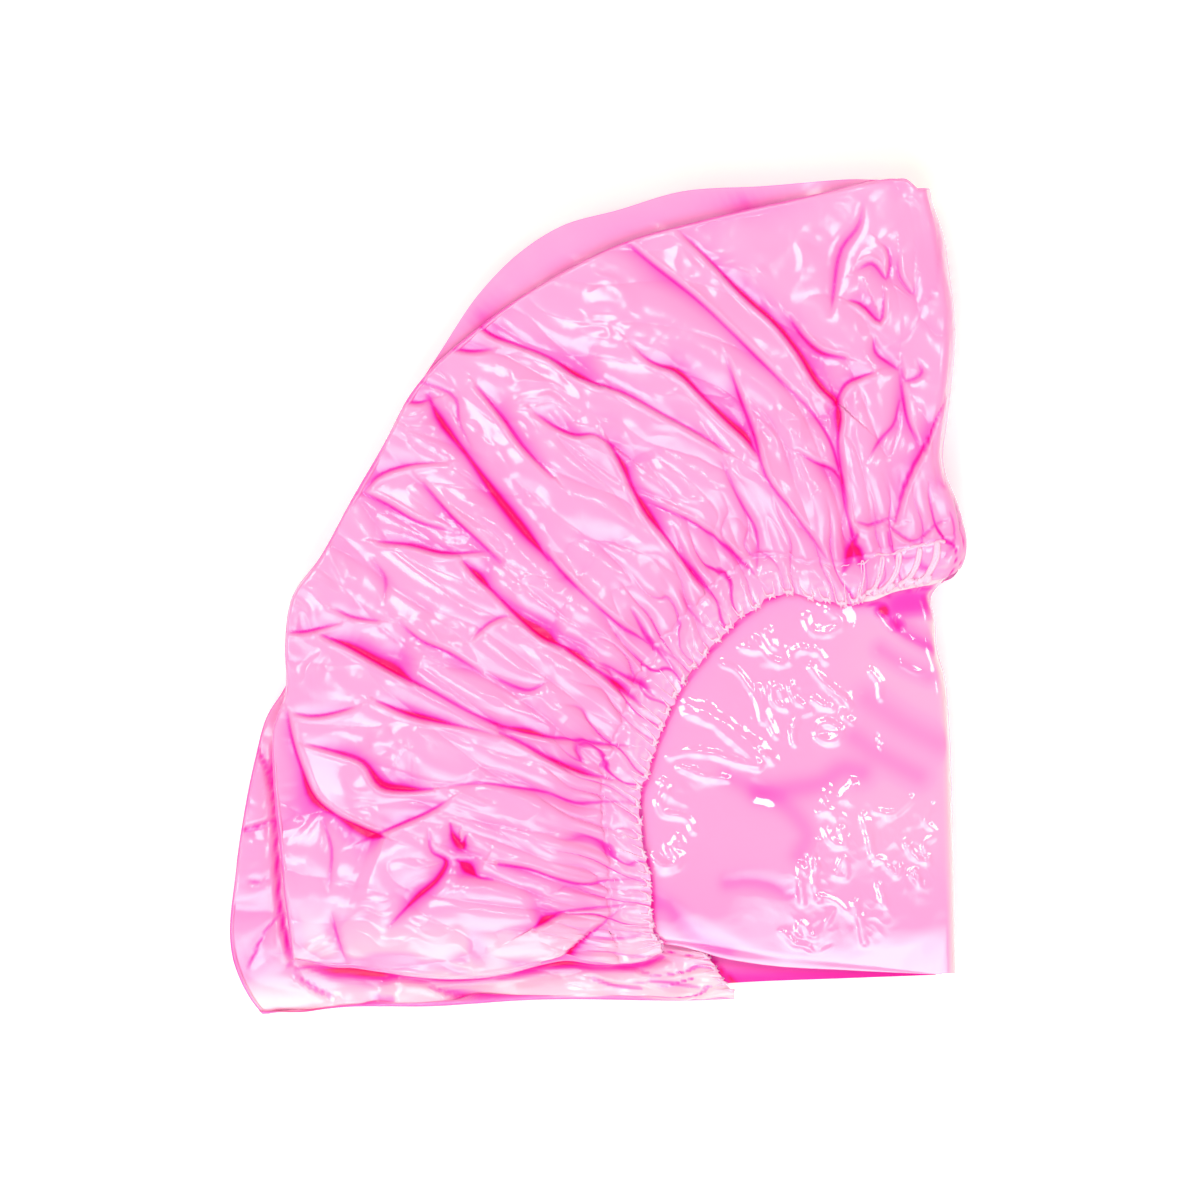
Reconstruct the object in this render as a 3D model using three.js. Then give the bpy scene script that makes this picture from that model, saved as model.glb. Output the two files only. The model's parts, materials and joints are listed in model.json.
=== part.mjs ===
// A film shower cap, folded twice into a quarter and lying flat.
//
// The cap is one round film. Its rim is turned in over the crown as a brim, gathered on a stitched
// elastic that rings the opening. Folded in half along the front fold and then in half again along
// the side fold, it makes a stack of four quarters. From the top they are named top, upper_inner,
// lower_inner and bottom. The top and upper_inner quarters are the upper half, which opens about
// the side fold, and the other two are the lower half.
//
// Lengths are in millimetres. X runs to the right, Y away from the front fold and Z up. The fold
// corner, where both folds cross, is the middle of the crown. Angles are measured about it from
// the side fold, which runs along Y, to the front fold, which runs along X.

import * as THREE from 'three';

// Driving sizes of the film
const foldRadius = 140; // fold corner to the outer edge, where the film turns from crown to brim
const openingRadius = 70; // fold corner to the brim's inner edge
const filmThickness = 0.2;
const edgeRound = 3; // width of the round turn from crown to brim
const crownCornerRadius = 1; // the crown's films stop this far from the fold corner
const crownEdgeGap = 0.7; // and this far from where the brim turns round the outer edge

// Driving sizes of the hem
const elasticWidth = 6;
const elasticThickness = 0.6;
const elasticPeep = 1; // the elastic shows this far inside the film's edge
const hemWidth = 7; // inner edge of the film to the needle line
const hemMargin = 0.8; // needle line to where the pleats start to rise
const hemRipple = 0.15; // the gathered hem waves up and down by this much
const threadDiameter = 0.3;
const stitchSpacing = 3.4; // from one crossing thread to the next

// Driving sizes of the stack
const clearance = 0.3; // between any two pieces that lie on each other
const innerPuff = 0.9; // the inner quarters' pleats rise this far over the stitches
const outerPuff = 3.4; // the outer quarters' pleats rise this far over the stitches
const springWidth = 4; // the pleats spring up from the hem over this width
const tightTurn = 0.4; // reach of the innermost film where it turns round the side fold

// Angles from the side fold to the front fold. The lower half was folded a little wider.
const degree = Math.PI / 180;
const rightAngle = 90 * degree;
const upperFoldAngle = 89.6 * degree;
const lowerFoldAngle = 93.2 * degree;

// Heights over a quarter's crown, measured from the crown's outer face
const crownMiddle = filmThickness / 2;
const underThreadHeight = filmThickness + clearance + threadDiameter / 2;
const elasticBottom = underThreadHeight + threadDiameter / 2 + clearance;
const elasticMiddle = elasticBottom + elasticThickness / 2;
const hemMiddle = elasticBottom + elasticThickness + clearance + hemRipple + filmThickness / 2;
const threadLift = filmThickness / 2 + clearance + threadDiameter / 2;
const hemTop = hemMiddle + hemRipple + threadLift + threadDiameter / 2;
const innerHeight = hemTop + innerPuff;
const outerHeight = hemTop + outerPuff;
const halfHeight = innerHeight + clearance + outerHeight;

// Reach past the side fold of the middle of each layer, from the innermost out
const filmToElastic = filmThickness / 2 + clearance + elasticThickness / 2;
const innerBrimReach = tightTurn;
const innerElasticReach = innerBrimReach + filmToElastic;
const innerCrownReach = innerElasticReach + filmToElastic;
const outerCrownReach = innerCrownReach + filmThickness + clearance;
const outerElasticReach = outerCrownReach + filmToElastic;
const outerBrimReach = outerElasticReach + filmToElastic;
const hingeReach = outerBrimReach + filmThickness / 2 + clearance / 2;

// Reach past the front fold, where the crowns end and the hems turn round them
const frontElasticReach = clearance + elasticThickness / 2;
const frontBrimReach = frontElasticReach + filmToElastic;

// Outer edge of each quarter: degrees from the side fold, share of the fold radius
const topEdgeShares = [
  [0, 0.98], [3, 0.999], [11, 0.992], [19, 0.994], [25, 1.003], [36, 1], [43, 0.988],
  [47, 0.968], [52, 0.951], [60, 0.943], [63, 0.925], [67, 0.898], [74, 0.874], [80, 0.842],
  [90, 0.815],
];
const upperInnerEdgeShares = [
  [0, 0.99], [6, 1.002], [14, 1.017], [19, 1.037], [24, 1.043], [28, 1.055], [31, 1.051],
  [35, 1.035], [40, 1.005], [43, 0.982], [52, 0.94], [63, 0.91], [74, 0.86], [90, 0.805],
];
const lowerInnerEdgeShares = [
  [0, 0.975], [10, 0.985], [30, 0.992], [40, 0.98], [52, 0.945], [62, 0.915], [67, 0.905],
  [73, 0.905], [78, 0.9], [88, 0.889], [92, 0.872], [94, 0.85],
];
const bottomEdgeShares = [
  [0, 0.965], [10, 0.975], [30, 0.982], [40, 0.97], [52, 0.935], [67, 0.895], [88, 0.875],
  [94, 0.84],
];

// Inner edge of each quarter's brim: degrees from the side fold, share of the opening radius
const topOpeningShares = [
  [0, 0.985], [11, 0.947], [17, 0.983], [24, 1.04], [31, 1.027], [41, 0.985], [51, 0.93],
  [61, 0.877], [67, 0.825], [73, 0.773], [79, 0.74], [90, 0.7],
];
const innerOpeningShares = [
  [0, 0.97], [20, 1], [40, 0.97], [60, 0.87], [75, 0.76], [94, 0.68],
];

// Valleys between the top quarter's pleats, read from the photograph. Each row is one valley: its
// shares of the angle between the folds, and then its depths as shares of the outer height, at the
// five rows from the hem to the outer edge.
const topValleyShares = [
  [[0.066, 0.035, 0.044, 0.065, 0.035], [0.15, 0.2, 0.14, 0.14, 0.05]],
  [[0.12, 0.126, 0.112, 0.1, 0.075], [0.22, 0.2, 0.3, 0.1, 0.07]],
  [[0.155, 0.154, 0.137, 0.158, 0.205], [0.15, 0.07, 0.25, 0.25, 0.12]],
  [[0.19, 0.214, 0.2, 0.205, 0.247], [0.1, 0.15, 0.18, 0.15, 0.14]],
  [[0.254, 0.257, 0.237, 0.28, 0.31], [0.15, 0.12, 0.28, 0.14, 0.05]],
  [[0.3, 0.325, 0.29, 0.333, 0.384], [0.18, 0.12, 0.1, 0.15, 0.14]],
  [[0.354, 0.361, 0.358, 0.392, 0.41], [0.2, 0.22, 0.28, 0.16, 0.05]],
  [[0.42, 0.42, 0.424, 0.427, 0.435], [0.12, 0.08, 0.08, 0.19, 0.05]],
  [[0.47, 0.481, 0.483, 0.478, 0.467], [0.17, 0.14, 0.22, 0.3, 0.2]],
  [[0.539, 0.549, 0.553, 0.535, 0.545], [0.22, 0.26, 0.24, 0.17, 0.13]],
  [[0.59, 0.612, 0.633, 0.62, 0.6], [0.12, 0.14, 0.1, 0.13, 0.07]],
  [[0.634, 0.664, 0.676, 0.68, 0.686], [0.2, 0.27, 0.15, 0.34, 0.07]],
  [[0.677, 0.691, 0.699, 0.714, 0.73], [0.24, 0.19, 0.14, 0.19, 0.1]],
  [[0.721, 0.735, 0.762, 0.79, 0.782], [0.17, 0.14, 0.1, 0.32, 0.07]],
  [[0.844, 0.842, 0.845, 0.848, 0.815], [0.17, 0.15, 0.32, 0.27, 0.18]],
  [[0.895, 0.925, 0.885, 0.935, 0.9], [0.15, 0.25, 0.2, 0.12, 0.07]],
  [[0.95, 0.975, 0.96, 0.965, 0.955], [0.16, 0.17, 0.07, 0.07, 0.1]],
];
// The other quarters' pleats are spaced evenly
const hiddenPleatCount = 12;
const hiddenLeanShare = 0.3; // sideways lean of a hidden valley, of one pleat's width
const hiddenDepthShares = [0.08, 0.18, 0.2, 0.2, 0.1];
const foldDepthShare = 0.05; // how far the pleats sink where the brim goes round a fold

// From the hem to the outer edge, the rows lie at these shares. Crests are shares of the height
// that a quarter's brim has room for: loose on top, pressed flat under the cap, and held between
// the two halves inside it.
const rowPlaceShares = [0, 0.2, 0.42, 0.68, 1];
const looseCrestShares = [0.55, 0.82, 0.83, 0.8, 0.58];
const pressedCrestShares = [0.6, 1, 1.05, 1.02, 0.7];
const heldCrestShares = [0.74, 0.8, 0.82, 0.8, 0.62];
const pleatFullnessShares = [0.94, 1, 0.96, 1, 0.92, 0.98]; // taken in turn
// Across a pleat, the columns lie at these shares of its width
const pleatColumnShares = [0, 0.35, 0.65, 1];
const turnSteps = 3; // facets round a fold
const edgeSteps = 2; // facets round the outer edge
const hemRows = 1;
const crownColumns = 16;
const crownRowShares = [0, 0.33, 0.66, 1];
const elasticColumns = 30;
const threadSides = 4;

const quarters = [
  {
    name: 'top', half: 1, outer: true, foldAngle: upperFoldAngle,
    edgeShares: topEdgeShares, openingShares: topOpeningShares, valleys: topValleyShares,
    crestShares: looseCrestShares,
  },
  {
    name: 'upper_inner', half: 1, outer: false, foldAngle: upperFoldAngle,
    edgeShares: upperInnerEdgeShares, openingShares: innerOpeningShares,
    valleys: hiddenValleys(1), crestShares: heldCrestShares,
  },
  {
    name: 'lower_inner', half: -1, outer: false, foldAngle: lowerFoldAngle,
    edgeShares: lowerInnerEdgeShares, openingShares: innerOpeningShares,
    valleys: hiddenValleys(2), crestShares: heldCrestShares,
  },
  {
    name: 'bottom', half: -1, outer: true, foldAngle: lowerFoldAngle,
    edgeShares: bottomEdgeShares, openingShares: innerOpeningShares,
    valleys: hiddenValleys(3), crestShares: pressedCrestShares,
  },
];

// Evenly spaced valleys that wander to one side and the other.
function hiddenValleys(order) {
  const valleys = [];
  for (let i = 1; i < hiddenPleatCount; i += 1) {
    const wander = (step) => Math.sin(order + i * i + step) - Math.sin(order + i * i);
    const places = rowPlaceShares.map((share, step) => (
      (i + hiddenLeanShare * share * wander(step)) / hiddenPleatCount
    ));
    valleys.push([places, hiddenDepthShares]);
  }
  return valleys;
}

// The value of a table of [place, value] rows at one place, straight between the rows.
function readTable(table, place) {
  let next = 1;
  while (next < table.length - 1 && table[next][0] < place) {
    next += 1;
  }
  const [startPlace, startValue] = table[next - 1];
  const [endPlace, endValue] = table[next];
  const share = (place - startPlace) / (endPlace - startPlace);
  return THREE.MathUtils.lerp(startValue, endValue, THREE.MathUtils.clamp(share, 0, 1));
}

function edgeRadius(quarter, angle) {
  return foldRadius * readTable(quarter.edgeShares, angle / degree);
}

function openingEdge(quarter, angle) {
  return openingRadius * readTable(quarter.openingShares, angle / degree);
}

// Level over the hinge plane of a point at a height over its quarter's crown. The outer quarters
// have their brims away from the plane, and the inner quarters towards it.
function stackLevel(quarter, height) {
  return quarter.outer ? innerHeight + clearance + height : innerHeight - height;
}

// A place along a quarter's angle. A layer lies flat between the folds and turns round them at
// its ends: turn is 0 on the flat and a right angle where the layer ends.
function columnPlace(quarter, flatCount, index, flatAngle) {
  if (index < turnSteps) {
    return { angle: 0, turn: rightAngle * (1 - index / turnSteps), fold: 'side' };
  }
  if (index > turnSteps + flatCount) {
    const past = index - turnSteps - flatCount;
    return { angle: quarter.foldAngle, turn: rightAngle * (past / turnSteps), fold: 'front' };
  }
  return { angle: flatAngle(index - turnSteps), turn: 0, fold: 'side' };
}

// The point of a layer at a radius and a height over its crown. Round a fold the layer follows a
// quarter of an ellipse: past the side fold it comes to the hinge plane, and past the front fold
// to its crown's outer face, where it meets the next quarter's layer.
function layerPoint(quarter, place, radius, height, reach) {
  const flatLevel = stackLevel(quarter, height);
  const endLevel = place.fold === 'side' ? clearance / 2 : stackLevel(quarter, 0);
  const level = THREE.MathUtils.lerp(endLevel, flatLevel, Math.cos(place.turn));
  const out = reach[place.fold] * Math.sin(place.turn);
  const outX = place.fold === 'side' ? out : -out * Math.cos(quarter.foldAngle);
  const outY = place.fold === 'side' ? 0 : -out * Math.sin(quarter.foldAngle);
  return new THREE.Vector3(
    -radius * Math.sin(place.angle) + outX,
    radius * Math.cos(place.angle) + outY,
    halfHeight + quarter.half * level,
  );
}

// A closed solid from a list of points and a list of triangles, turned to face outwards.
function closedGeometry(points, triangles) {
  let volume = 0;
  for (const [a, b, c] of triangles) {
    volume += points[a].dot(new THREE.Vector3().crossVectors(points[b], points[c]));
  }
  const facing = volume > 0 ? triangles : triangles.map(([a, b, c]) => [a, c, b]);
  const geometry = new THREE.BufferGeometry();
  geometry.setFromPoints(points);
  geometry.setIndex(facing.flat());
  geometry.computeVertexNormals();
  return geometry;
}

// A thin layer of even thickness about a surface given as a function of two row and column
// numbers. The surface returns a point, and flat where the layer is pressed level.
function layerSolid(columns, rows, thickness, surface) {
  const nudge = 1 / 64;
  const normalAt = (column, row) => {
    const left = surface(Math.max(column - nudge, 0), row).point;
    const right = surface(Math.min(column + nudge, columns), row).point;
    const near = surface(column, Math.max(row - nudge, 0)).point;
    const far = surface(column, Math.min(row + nudge, rows)).point;
    return right.sub(left).cross(far.sub(near)).normalize();
  };
  const points = [];
  for (const side of [-1, 1]) {
    for (let column = 0; column <= columns; column += 1) {
      for (let row = 0; row <= rows; row += 1) {
        const { point, flat } = surface(column, row);
        const normal = normalAt(column, row);
        if (flat) {
          normal.set(0, 0, Math.sign(normal.z));
        }
        points.push(point.addScaledVector(normal, (side * thickness) / 2));
      }
    }
  }
  const stride = rows + 1;
  const upper = (columns + 1) * stride;
  const triangles = [];
  const addQuad = (a, b, c, d) => triangles.push([a, b, c], [a, c, d]);
  for (let column = 0; column < columns; column += 1) {
    for (let row = 0; row < rows; row += 1) {
      const corner = column * stride + row;
      addQuad(corner, corner + 1, corner + stride + 1, corner + stride);
      addQuad(
        upper + corner, upper + corner + stride, upper + corner + stride + 1, upper + corner + 1,
      );
    }
  }
  for (let column = 0; column < columns; column += 1) {
    const near = column * stride;
    const far = near + rows;
    addQuad(near, near + stride, upper + near + stride, upper + near);
    addQuad(far, upper + far, upper + far + stride, far + stride);
  }
  for (let row = 0; row < rows; row += 1) {
    const right = row;
    const left = columns * stride + row;
    addQuad(right, upper + right, upper + right + 1, right + 1);
    addQuad(left, left + 1, upper + left + 1, upper + left);
  }
  return closedGeometry(points, triangles);
}

// One unbroken tube through a list of points, mitred where it turns.
function tubeSolid(path, radius) {
  const direction = (i) => path[i + 1].clone().sub(path[i]).normalize();
  const first = direction(0);
  const across = new THREE.Vector3(0, 0, 1).cross(first).normalize();
  const upward = first.clone().cross(across);
  let ring = [];
  for (let side = 0; side < threadSides; side += 1) {
    const angle = (4 * rightAngle * (side + 1 / 2)) / threadSides;
    const spoke = across.clone().multiplyScalar(Math.cos(angle));
    spoke.addScaledVector(upward, Math.sin(angle));
    ring.push(path[0].clone().addScaledVector(spoke, radius));
  }
  const points = [...ring];
  for (let i = 1; i < path.length; i += 1) {
    const incoming = direction(i - 1);
    const outgoing = i < path.length - 1 ? direction(i) : incoming;
    const mitre = incoming.clone().add(outgoing).normalize();
    ring = ring.map((point) => {
      const travel = path[i].clone().sub(point).dot(mitre) / incoming.dot(mitre);
      return point.clone().addScaledVector(incoming, travel);
    });
    points.push(...ring);
  }
  const triangles = [];
  for (let i = 0; i < path.length - 1; i += 1) {
    for (let side = 0; side < threadSides; side += 1) {
      const here = i * threadSides + side;
      const beside = i * threadSides + ((side + 1) % threadSides);
      triangles.push([here, beside, beside + threadSides]);
      triangles.push([here, beside + threadSides, here + threadSides]);
    }
  }
  const last = (path.length - 1) * threadSides;
  for (let side = 1; side < threadSides - 1; side += 1) {
    triangles.push([0, side + 1, side]);
    triangles.push([last, last + side, last + side + 1]);
  }
  return closedGeometry(points, triangles);
}

// The value of a list at a place between its entries, straight from one to the next.
function alongList(list, place) {
  const table = list.map((value, i) => [i, value]);
  return readTable(table, place);
}

// Where a quarter's pleats part, with both folds included.
function valleyLines(quarter) {
  const straight = (place) => [
    rowPlaceShares.map(() => place),
    rowPlaceShares.map(() => foldDepthShare),
  ];
  return [straight(0), ...quarter.valleys, straight(1)];
}

// The angle and the valleys' depth at a place in a pleat, for a body row from 0 at the hem.
function pleatPlace(quarter, pleat, across, bodyRow) {
  const lines = valleyLines(quarter);
  const [startPlaces, startDepths] = lines[pleat];
  const [endPlaces, endDepths] = lines[pleat + 1];
  const between = (starts, ends) => THREE.MathUtils.lerp(
    alongList(starts, bodyRow), alongList(ends, bodyRow), across,
  );
  return {
    angle: quarter.foldAngle * between(startPlaces, endPlaces),
    depthShare: between(startDepths, endDepths),
  };
}

// A pleat's swell across its width: 0 in the valleys and 1 on the crest.
function swell(across) {
  return 1 - Math.abs(2 * across - 1) ** 3;
}

// Height of the hem's film over the crown at a place across a pleat.
function hemHeight(across) {
  return hemMiddle + hemRipple * (2 * swell(across) - 1);
}

// The brim: gathered flat on the elastic at the hem, then springing up into puffy pleats with
// sharp valleys, and turning down round the outer edge to the crown.
function brimSurface(quarter) {
  const pleatSteps = pleatColumnShares.length - 1;
  const pleatCount = quarter.valleys.length + 1;
  const flatCount = pleatCount * pleatSteps;
  const bodyRows = rowPlaceShares.length;
  const rows = hemRows + bodyRows + edgeSteps;
  const reach = {
    side: quarter.outer ? outerBrimReach : innerBrimReach,
    front: frontBrimReach,
  };
  const fullHeight = quarter.outer ? outerHeight : innerHeight - clearance / 2;
  const levelLimit = fullHeight - filmThickness / 2;

  const surface = (column, row) => {
    const flatIndex = THREE.MathUtils.clamp((column - turnSteps) / pleatSteps, 0, pleatCount);
    const pleat = Math.min(Math.floor(flatIndex), pleatCount - 1);
    const across = alongList(pleatColumnShares, (flatIndex - pleat) * pleatSteps);
    const bodyRow = THREE.MathUtils.clamp(row - hemRows - 1, 0, bodyRows - 1);
    const { angle, depthShare } = pleatPlace(quarter, pleat, across, bodyRow);
    const place = columnPlace(quarter, flatCount, column, () => angle);

    const innerEdge = openingEdge(quarter, place.angle);
    const outerEdge = edgeRadius(quarter, place.angle);
    const hemEnd = innerEdge + hemWidth + hemMargin;
    const springEnd = hemEnd + springWidth;
    const turnStart = outerEdge - edgeRound;
    const fullness = pleatFullnessShares[pleat % pleatFullnessShares.length];
    const sunk = depthShare * (1 - swell(across)) + (1 - fullness) * swell(across);
    const pleatHeight = fullHeight * (alongList(quarter.crestShares, bodyRow) - sunk);
    const bodyHeight = Math.min(pleatHeight, levelLimit);
    const flat = place.turn === 0 && pleatHeight > levelLimit && row <= hemRows + bodyRows;

    let radius = THREE.MathUtils.lerp(springEnd, turnStart, alongList(rowPlaceShares, bodyRow));
    let height = bodyHeight;
    if (row <= hemRows) {
      radius = THREE.MathUtils.lerp(innerEdge, hemEnd, row / hemRows);
      height = hemHeight(across);
    } else if (row < hemRows + 1) {
      radius = THREE.MathUtils.lerp(hemEnd, springEnd, row - hemRows);
      height = THREE.MathUtils.lerp(hemHeight(across), bodyHeight, row - hemRows);
    } else if (row > hemRows + bodyRows) {
      const round = (rightAngle * (row - hemRows - bodyRows)) / edgeSteps;
      radius = turnStart + edgeRound * Math.sin(round);
      height = THREE.MathUtils.lerp(crownMiddle, bodyHeight, Math.cos(round));
    }
    return { point: layerPoint(quarter, place, radius, height, reach), flat };
  };
  return { columns: flatCount + 2 * turnSteps, rows, surface };
}

function brimFilm(quarter) {
  const { columns, rows, surface } = brimSurface(quarter);
  return layerSolid(columns, rows, filmThickness, surface);
}

// The crown: a flat film that turns round the side fold and ends at the front fold, where it
// lies face to face with the next quarter's crown.
function crownFilm(quarter) {
  const rows = crownRowShares.length - 1;
  const reach = { side: quarter.outer ? outerCrownReach : innerCrownReach };
  const surface = (column, row) => {
    const flatAngle = (index) => (quarter.foldAngle * index) / crownColumns;
    const place = columnPlace(quarter, crownColumns, column, flatAngle);
    const outerEdge = edgeRadius(quarter, place.angle) - crownEdgeGap;
    const share = alongList(crownRowShares, row);
    const radius = THREE.MathUtils.lerp(crownCornerRadius, outerEdge, share);
    return { point: layerPoint(quarter, place, radius, crownMiddle, reach), flat: false };
  };
  return layerSolid(turnSteps + crownColumns, rows, filmThickness, surface);
}

// The elastic: a flat band under the hem, which shows a little inside the film's edge.
function elasticBand(quarter) {
  const reach = {
    side: quarter.outer ? outerElasticReach : innerElasticReach,
    front: frontElasticReach,
  };
  const surface = (column, row) => {
    const flatAngle = (index) => (quarter.foldAngle * index) / elasticColumns;
    const place = columnPlace(quarter, elasticColumns, column, flatAngle);
    const radius = openingEdge(quarter, place.angle) - elasticPeep + elasticWidth * row;
    return { point: layerPoint(quarter, place, radius, elasticMiddle, reach), flat: false };
  };
  return layerSolid(elasticColumns + 2 * turnSteps, 1, elasticThickness, surface);
}

// How far across its pleat an angle lies at the hem.
function acrossAtHem(quarter, angle) {
  const lines = valleyLines(quarter);
  const share = angle / quarter.foldAngle;
  const hemPlaces = lines.map(([places]) => places[0]);
  const next = hemPlaces.findIndex((hem) => hem > share);
  const start = hemPlaces[next - 1];
  return (share - start) / (hemPlaces[next] - start);
}

function threadPoint(quarter, angle, radius, height) {
  const place = { angle, turn: 0, fold: 'side' };
  return layerPoint(quarter, place, radius, height, { side: 0 });
}

// The needle thread: one row of stitches that lies on the hem along the needle line.
function needleThread(quarter) {
  const [, firstShare, lastShare] = pleatColumnShares;
  const lastPleat = quarter.valleys.length;
  const path = [];
  const addPoint = (pleat, across) => {
    const { angle } = pleatPlace(quarter, pleat, across, 0);
    const radius = openingEdge(quarter, angle) + hemWidth;
    path.push(threadPoint(quarter, angle, radius, hemHeight(across) + threadLift));
  };
  for (let pleat = 0; pleat <= lastPleat; pleat += 1) {
    addPoint(pleat, pleat === 0 ? firstShare : 0);
    addPoint(pleat, 1 / 2);
  }
  addPoint(lastPleat, lastShare);
  return tubeSolid(path, threadDiameter / 2);
}

// The looper thread: it crosses over the hem, turns down round its inner edge, runs back under
// the elastic, steps on by one stitch and returns the same way, all in one unbroken run.
function looperPath(quarter) {
  const stitches = Math.floor((openingRadius * quarter.foldAngle) / stitchSpacing);
  const path = [];
  for (let stitch = 0; stitch < stitches; stitch += 1) {
    const angle = (quarter.foldAngle * (stitch + 1 / 2)) / stitches;
    const edge = openingEdge(quarter, angle);
    const topHeight = hemHeight(acrossAtHem(quarter, angle)) + threadLift;
    const topEnd = edge + hemWidth - threadDiameter - clearance;
    const underEnd = edge - elasticPeep + elasticWidth;
    const wrap = edge - elasticPeep - clearance - threadDiameter / 2;
    const crossing = [
      threadPoint(quarter, angle, topEnd, topHeight),
      threadPoint(quarter, angle, wrap, topHeight),
      threadPoint(quarter, angle, wrap, underThreadHeight),
      threadPoint(quarter, angle, underEnd, underThreadHeight),
    ];
    path.push(...(stitch % 2 === 0 ? crossing : crossing.reverse()));
  }
  return path;
}

function looperThread(quarter) {
  return tubeSolid(looperPath(quarter), threadDiameter / 2);
}

// The least gap of a thread to itself, measured between points along its runs. Runs that are
// joined at a corner, or lie one run apart, are left out.
function leastGap(path) {
  const samples = [];
  const perRun = 6;
  for (let run = 0; run < path.length - 1; run += 1) {
    for (let step = 0; step < perRun; step += 1) {
      samples.push({ run, point: path[run].clone().lerp(path[run + 1], step / perRun) });
    }
  }
  let least = Infinity;
  for (const a of samples) {
    for (const b of samples) {
      if (b.run > a.run + 1) {
        least = Math.min(least, a.point.distanceTo(b.point));
      }
    }
  }
  return least - threadDiameter;
}

// Materials: glossy pink vinyl film, white knitted elastic and off-white sewing thread
const film = new THREE.MeshStandardMaterial({ color: '#ffa6de', roughness: 0.2, metalness: 0 });
const elastic = new THREE.MeshStandardMaterial({ color: '#f4ede6', roughness: 0.9, metalness: 0 });
const thread = new THREE.MeshStandardMaterial({ color: '#f8e6e4', roughness: 0.8, metalness: 0 });

const cap = new THREE.Group();
for (const quarter of quarters) {
  const pieces = [
    ['crown_film', crownFilm(quarter), film],
    ['brim_film', brimFilm(quarter), film],
    ['elastic_band', elasticBand(quarter), elastic],
    ['needle_thread', needleThread(quarter), thread],
    ['looper_thread', looperThread(quarter), thread],
  ];
  for (const [piece, geometry, material] of pieces) {
    const mesh = new THREE.Mesh(geometry, material);
    mesh.name = `${piece}_${quarter.name}`;
    cap.add(mesh);
  }
}

// The cap stands with the middle of its underside on the origin.
const extent = new THREE.Box3().setFromObject(cap);
const middle = extent.getCenter(new THREE.Vector3());
cap.position.set(-middle.x, -middle.y, -extent.min.z);

const gap = Math.min(...quarters.map((quarter) => leastGap(looperPath(quarter))));
console.log(`least gap of a looper thread to itself: ${gap.toFixed(2)} mm`);
console.log(`side fold's axis: x ${(hingeReach - middle.x).toFixed(3)}, `
  + `z ${(halfHeight - extent.min.z).toFixed(3)} mm`);
console.log(`fold corner: x ${(-middle.x).toFixed(3)}, y ${(-middle.y).toFixed(3)} mm`);

export default cap;
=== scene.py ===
"""A pink vinyl film shower cap, folded twice into a quarter and lying flat.

Lengths in the functions are millimetres in the corner frame: its origin is the fold corner, the
middle of the crown, where both folds cross. X runs to the right, Y away from the front fold, and
the level is the distance from the hinge plane, in which the cap opens about its side fold. Angles
are measured about the fold corner from the side fold, along Y, to the front fold, along -X.
"""

import json
import math
from dataclasses import dataclass

import bpy
import numpy as np
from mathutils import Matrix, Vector


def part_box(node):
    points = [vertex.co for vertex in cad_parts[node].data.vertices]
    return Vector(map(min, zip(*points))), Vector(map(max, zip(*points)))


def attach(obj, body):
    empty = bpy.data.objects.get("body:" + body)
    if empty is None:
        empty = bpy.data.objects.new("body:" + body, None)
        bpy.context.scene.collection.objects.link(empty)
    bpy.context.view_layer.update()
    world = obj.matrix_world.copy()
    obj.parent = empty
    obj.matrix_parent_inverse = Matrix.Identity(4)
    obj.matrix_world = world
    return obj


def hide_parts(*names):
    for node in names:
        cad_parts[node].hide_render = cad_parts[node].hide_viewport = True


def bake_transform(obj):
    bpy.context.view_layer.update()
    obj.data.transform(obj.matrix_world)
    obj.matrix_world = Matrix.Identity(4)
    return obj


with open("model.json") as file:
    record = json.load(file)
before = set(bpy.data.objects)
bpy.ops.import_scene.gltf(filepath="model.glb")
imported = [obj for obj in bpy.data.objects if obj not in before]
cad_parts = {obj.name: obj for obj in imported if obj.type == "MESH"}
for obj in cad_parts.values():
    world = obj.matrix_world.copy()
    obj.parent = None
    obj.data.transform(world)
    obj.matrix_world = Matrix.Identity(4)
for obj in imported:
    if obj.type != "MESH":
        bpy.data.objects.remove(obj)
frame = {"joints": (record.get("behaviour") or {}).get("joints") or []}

bl_info = {
    "name": "Folded Shower Cap",
    "version": (1, 0, 0),
    "blender": (4, 5, 0),
    "location": "View3D > Sidebar > Shower Cap",
    "description": "Builds a folded vinyl shower cap with its gathered brim and stitched elastic",
    "category": "Object",
}

MM = 0.001
PIXEL = 0.175  # millimetres of the cap to one pixel of the photograph
PHOTO_SIZE = 1200  # pixels
PHOTO_CORNER = (957.0, 977.0)  # where the crown's corner shows, in pixels
FLAT_CORNER = (943.0, 977.0)  # where the flat of the crown ends and turns round the side fold

# Sizes of the stack, the same as the solids have
UPPER_FOLD_ANGLE = math.radians(89.6)
LOWER_FOLD_ANGLE = math.radians(93.2)
FILM = 0.2
CLEARANCE = 0.3
ELASTIC = 0.6
ELASTIC_MIDDLE = 1.4
HEM_MIDDLE = 2.25
INNER_HEIGHT = 4.0
OUTER_HEIGHT = 6.5
CROWN_MIDDLE = FILM / 2
INNER_BRIM_REACH = 0.4
LAYER_STEP = FILM / 2 + CLEARANCE + ELASTIC / 2
INNER_CROWN_REACH = INNER_BRIM_REACH + 2 * LAYER_STEP
OUTER_CROWN_REACH = INNER_CROWN_REACH + FILM + CLEARANCE
OUTER_BRIM_REACH = OUTER_CROWN_REACH + 2 * LAYER_STEP
FRONT_ELASTIC_REACH = CLEARANCE + ELASTIC / 2
FRONT_BRIM_REACH = FRONT_ELASTIC_REACH + LAYER_STEP
HINGE_REACH = OUTER_BRIM_REACH + FILM / 2 + CLEARANCE / 2

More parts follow.
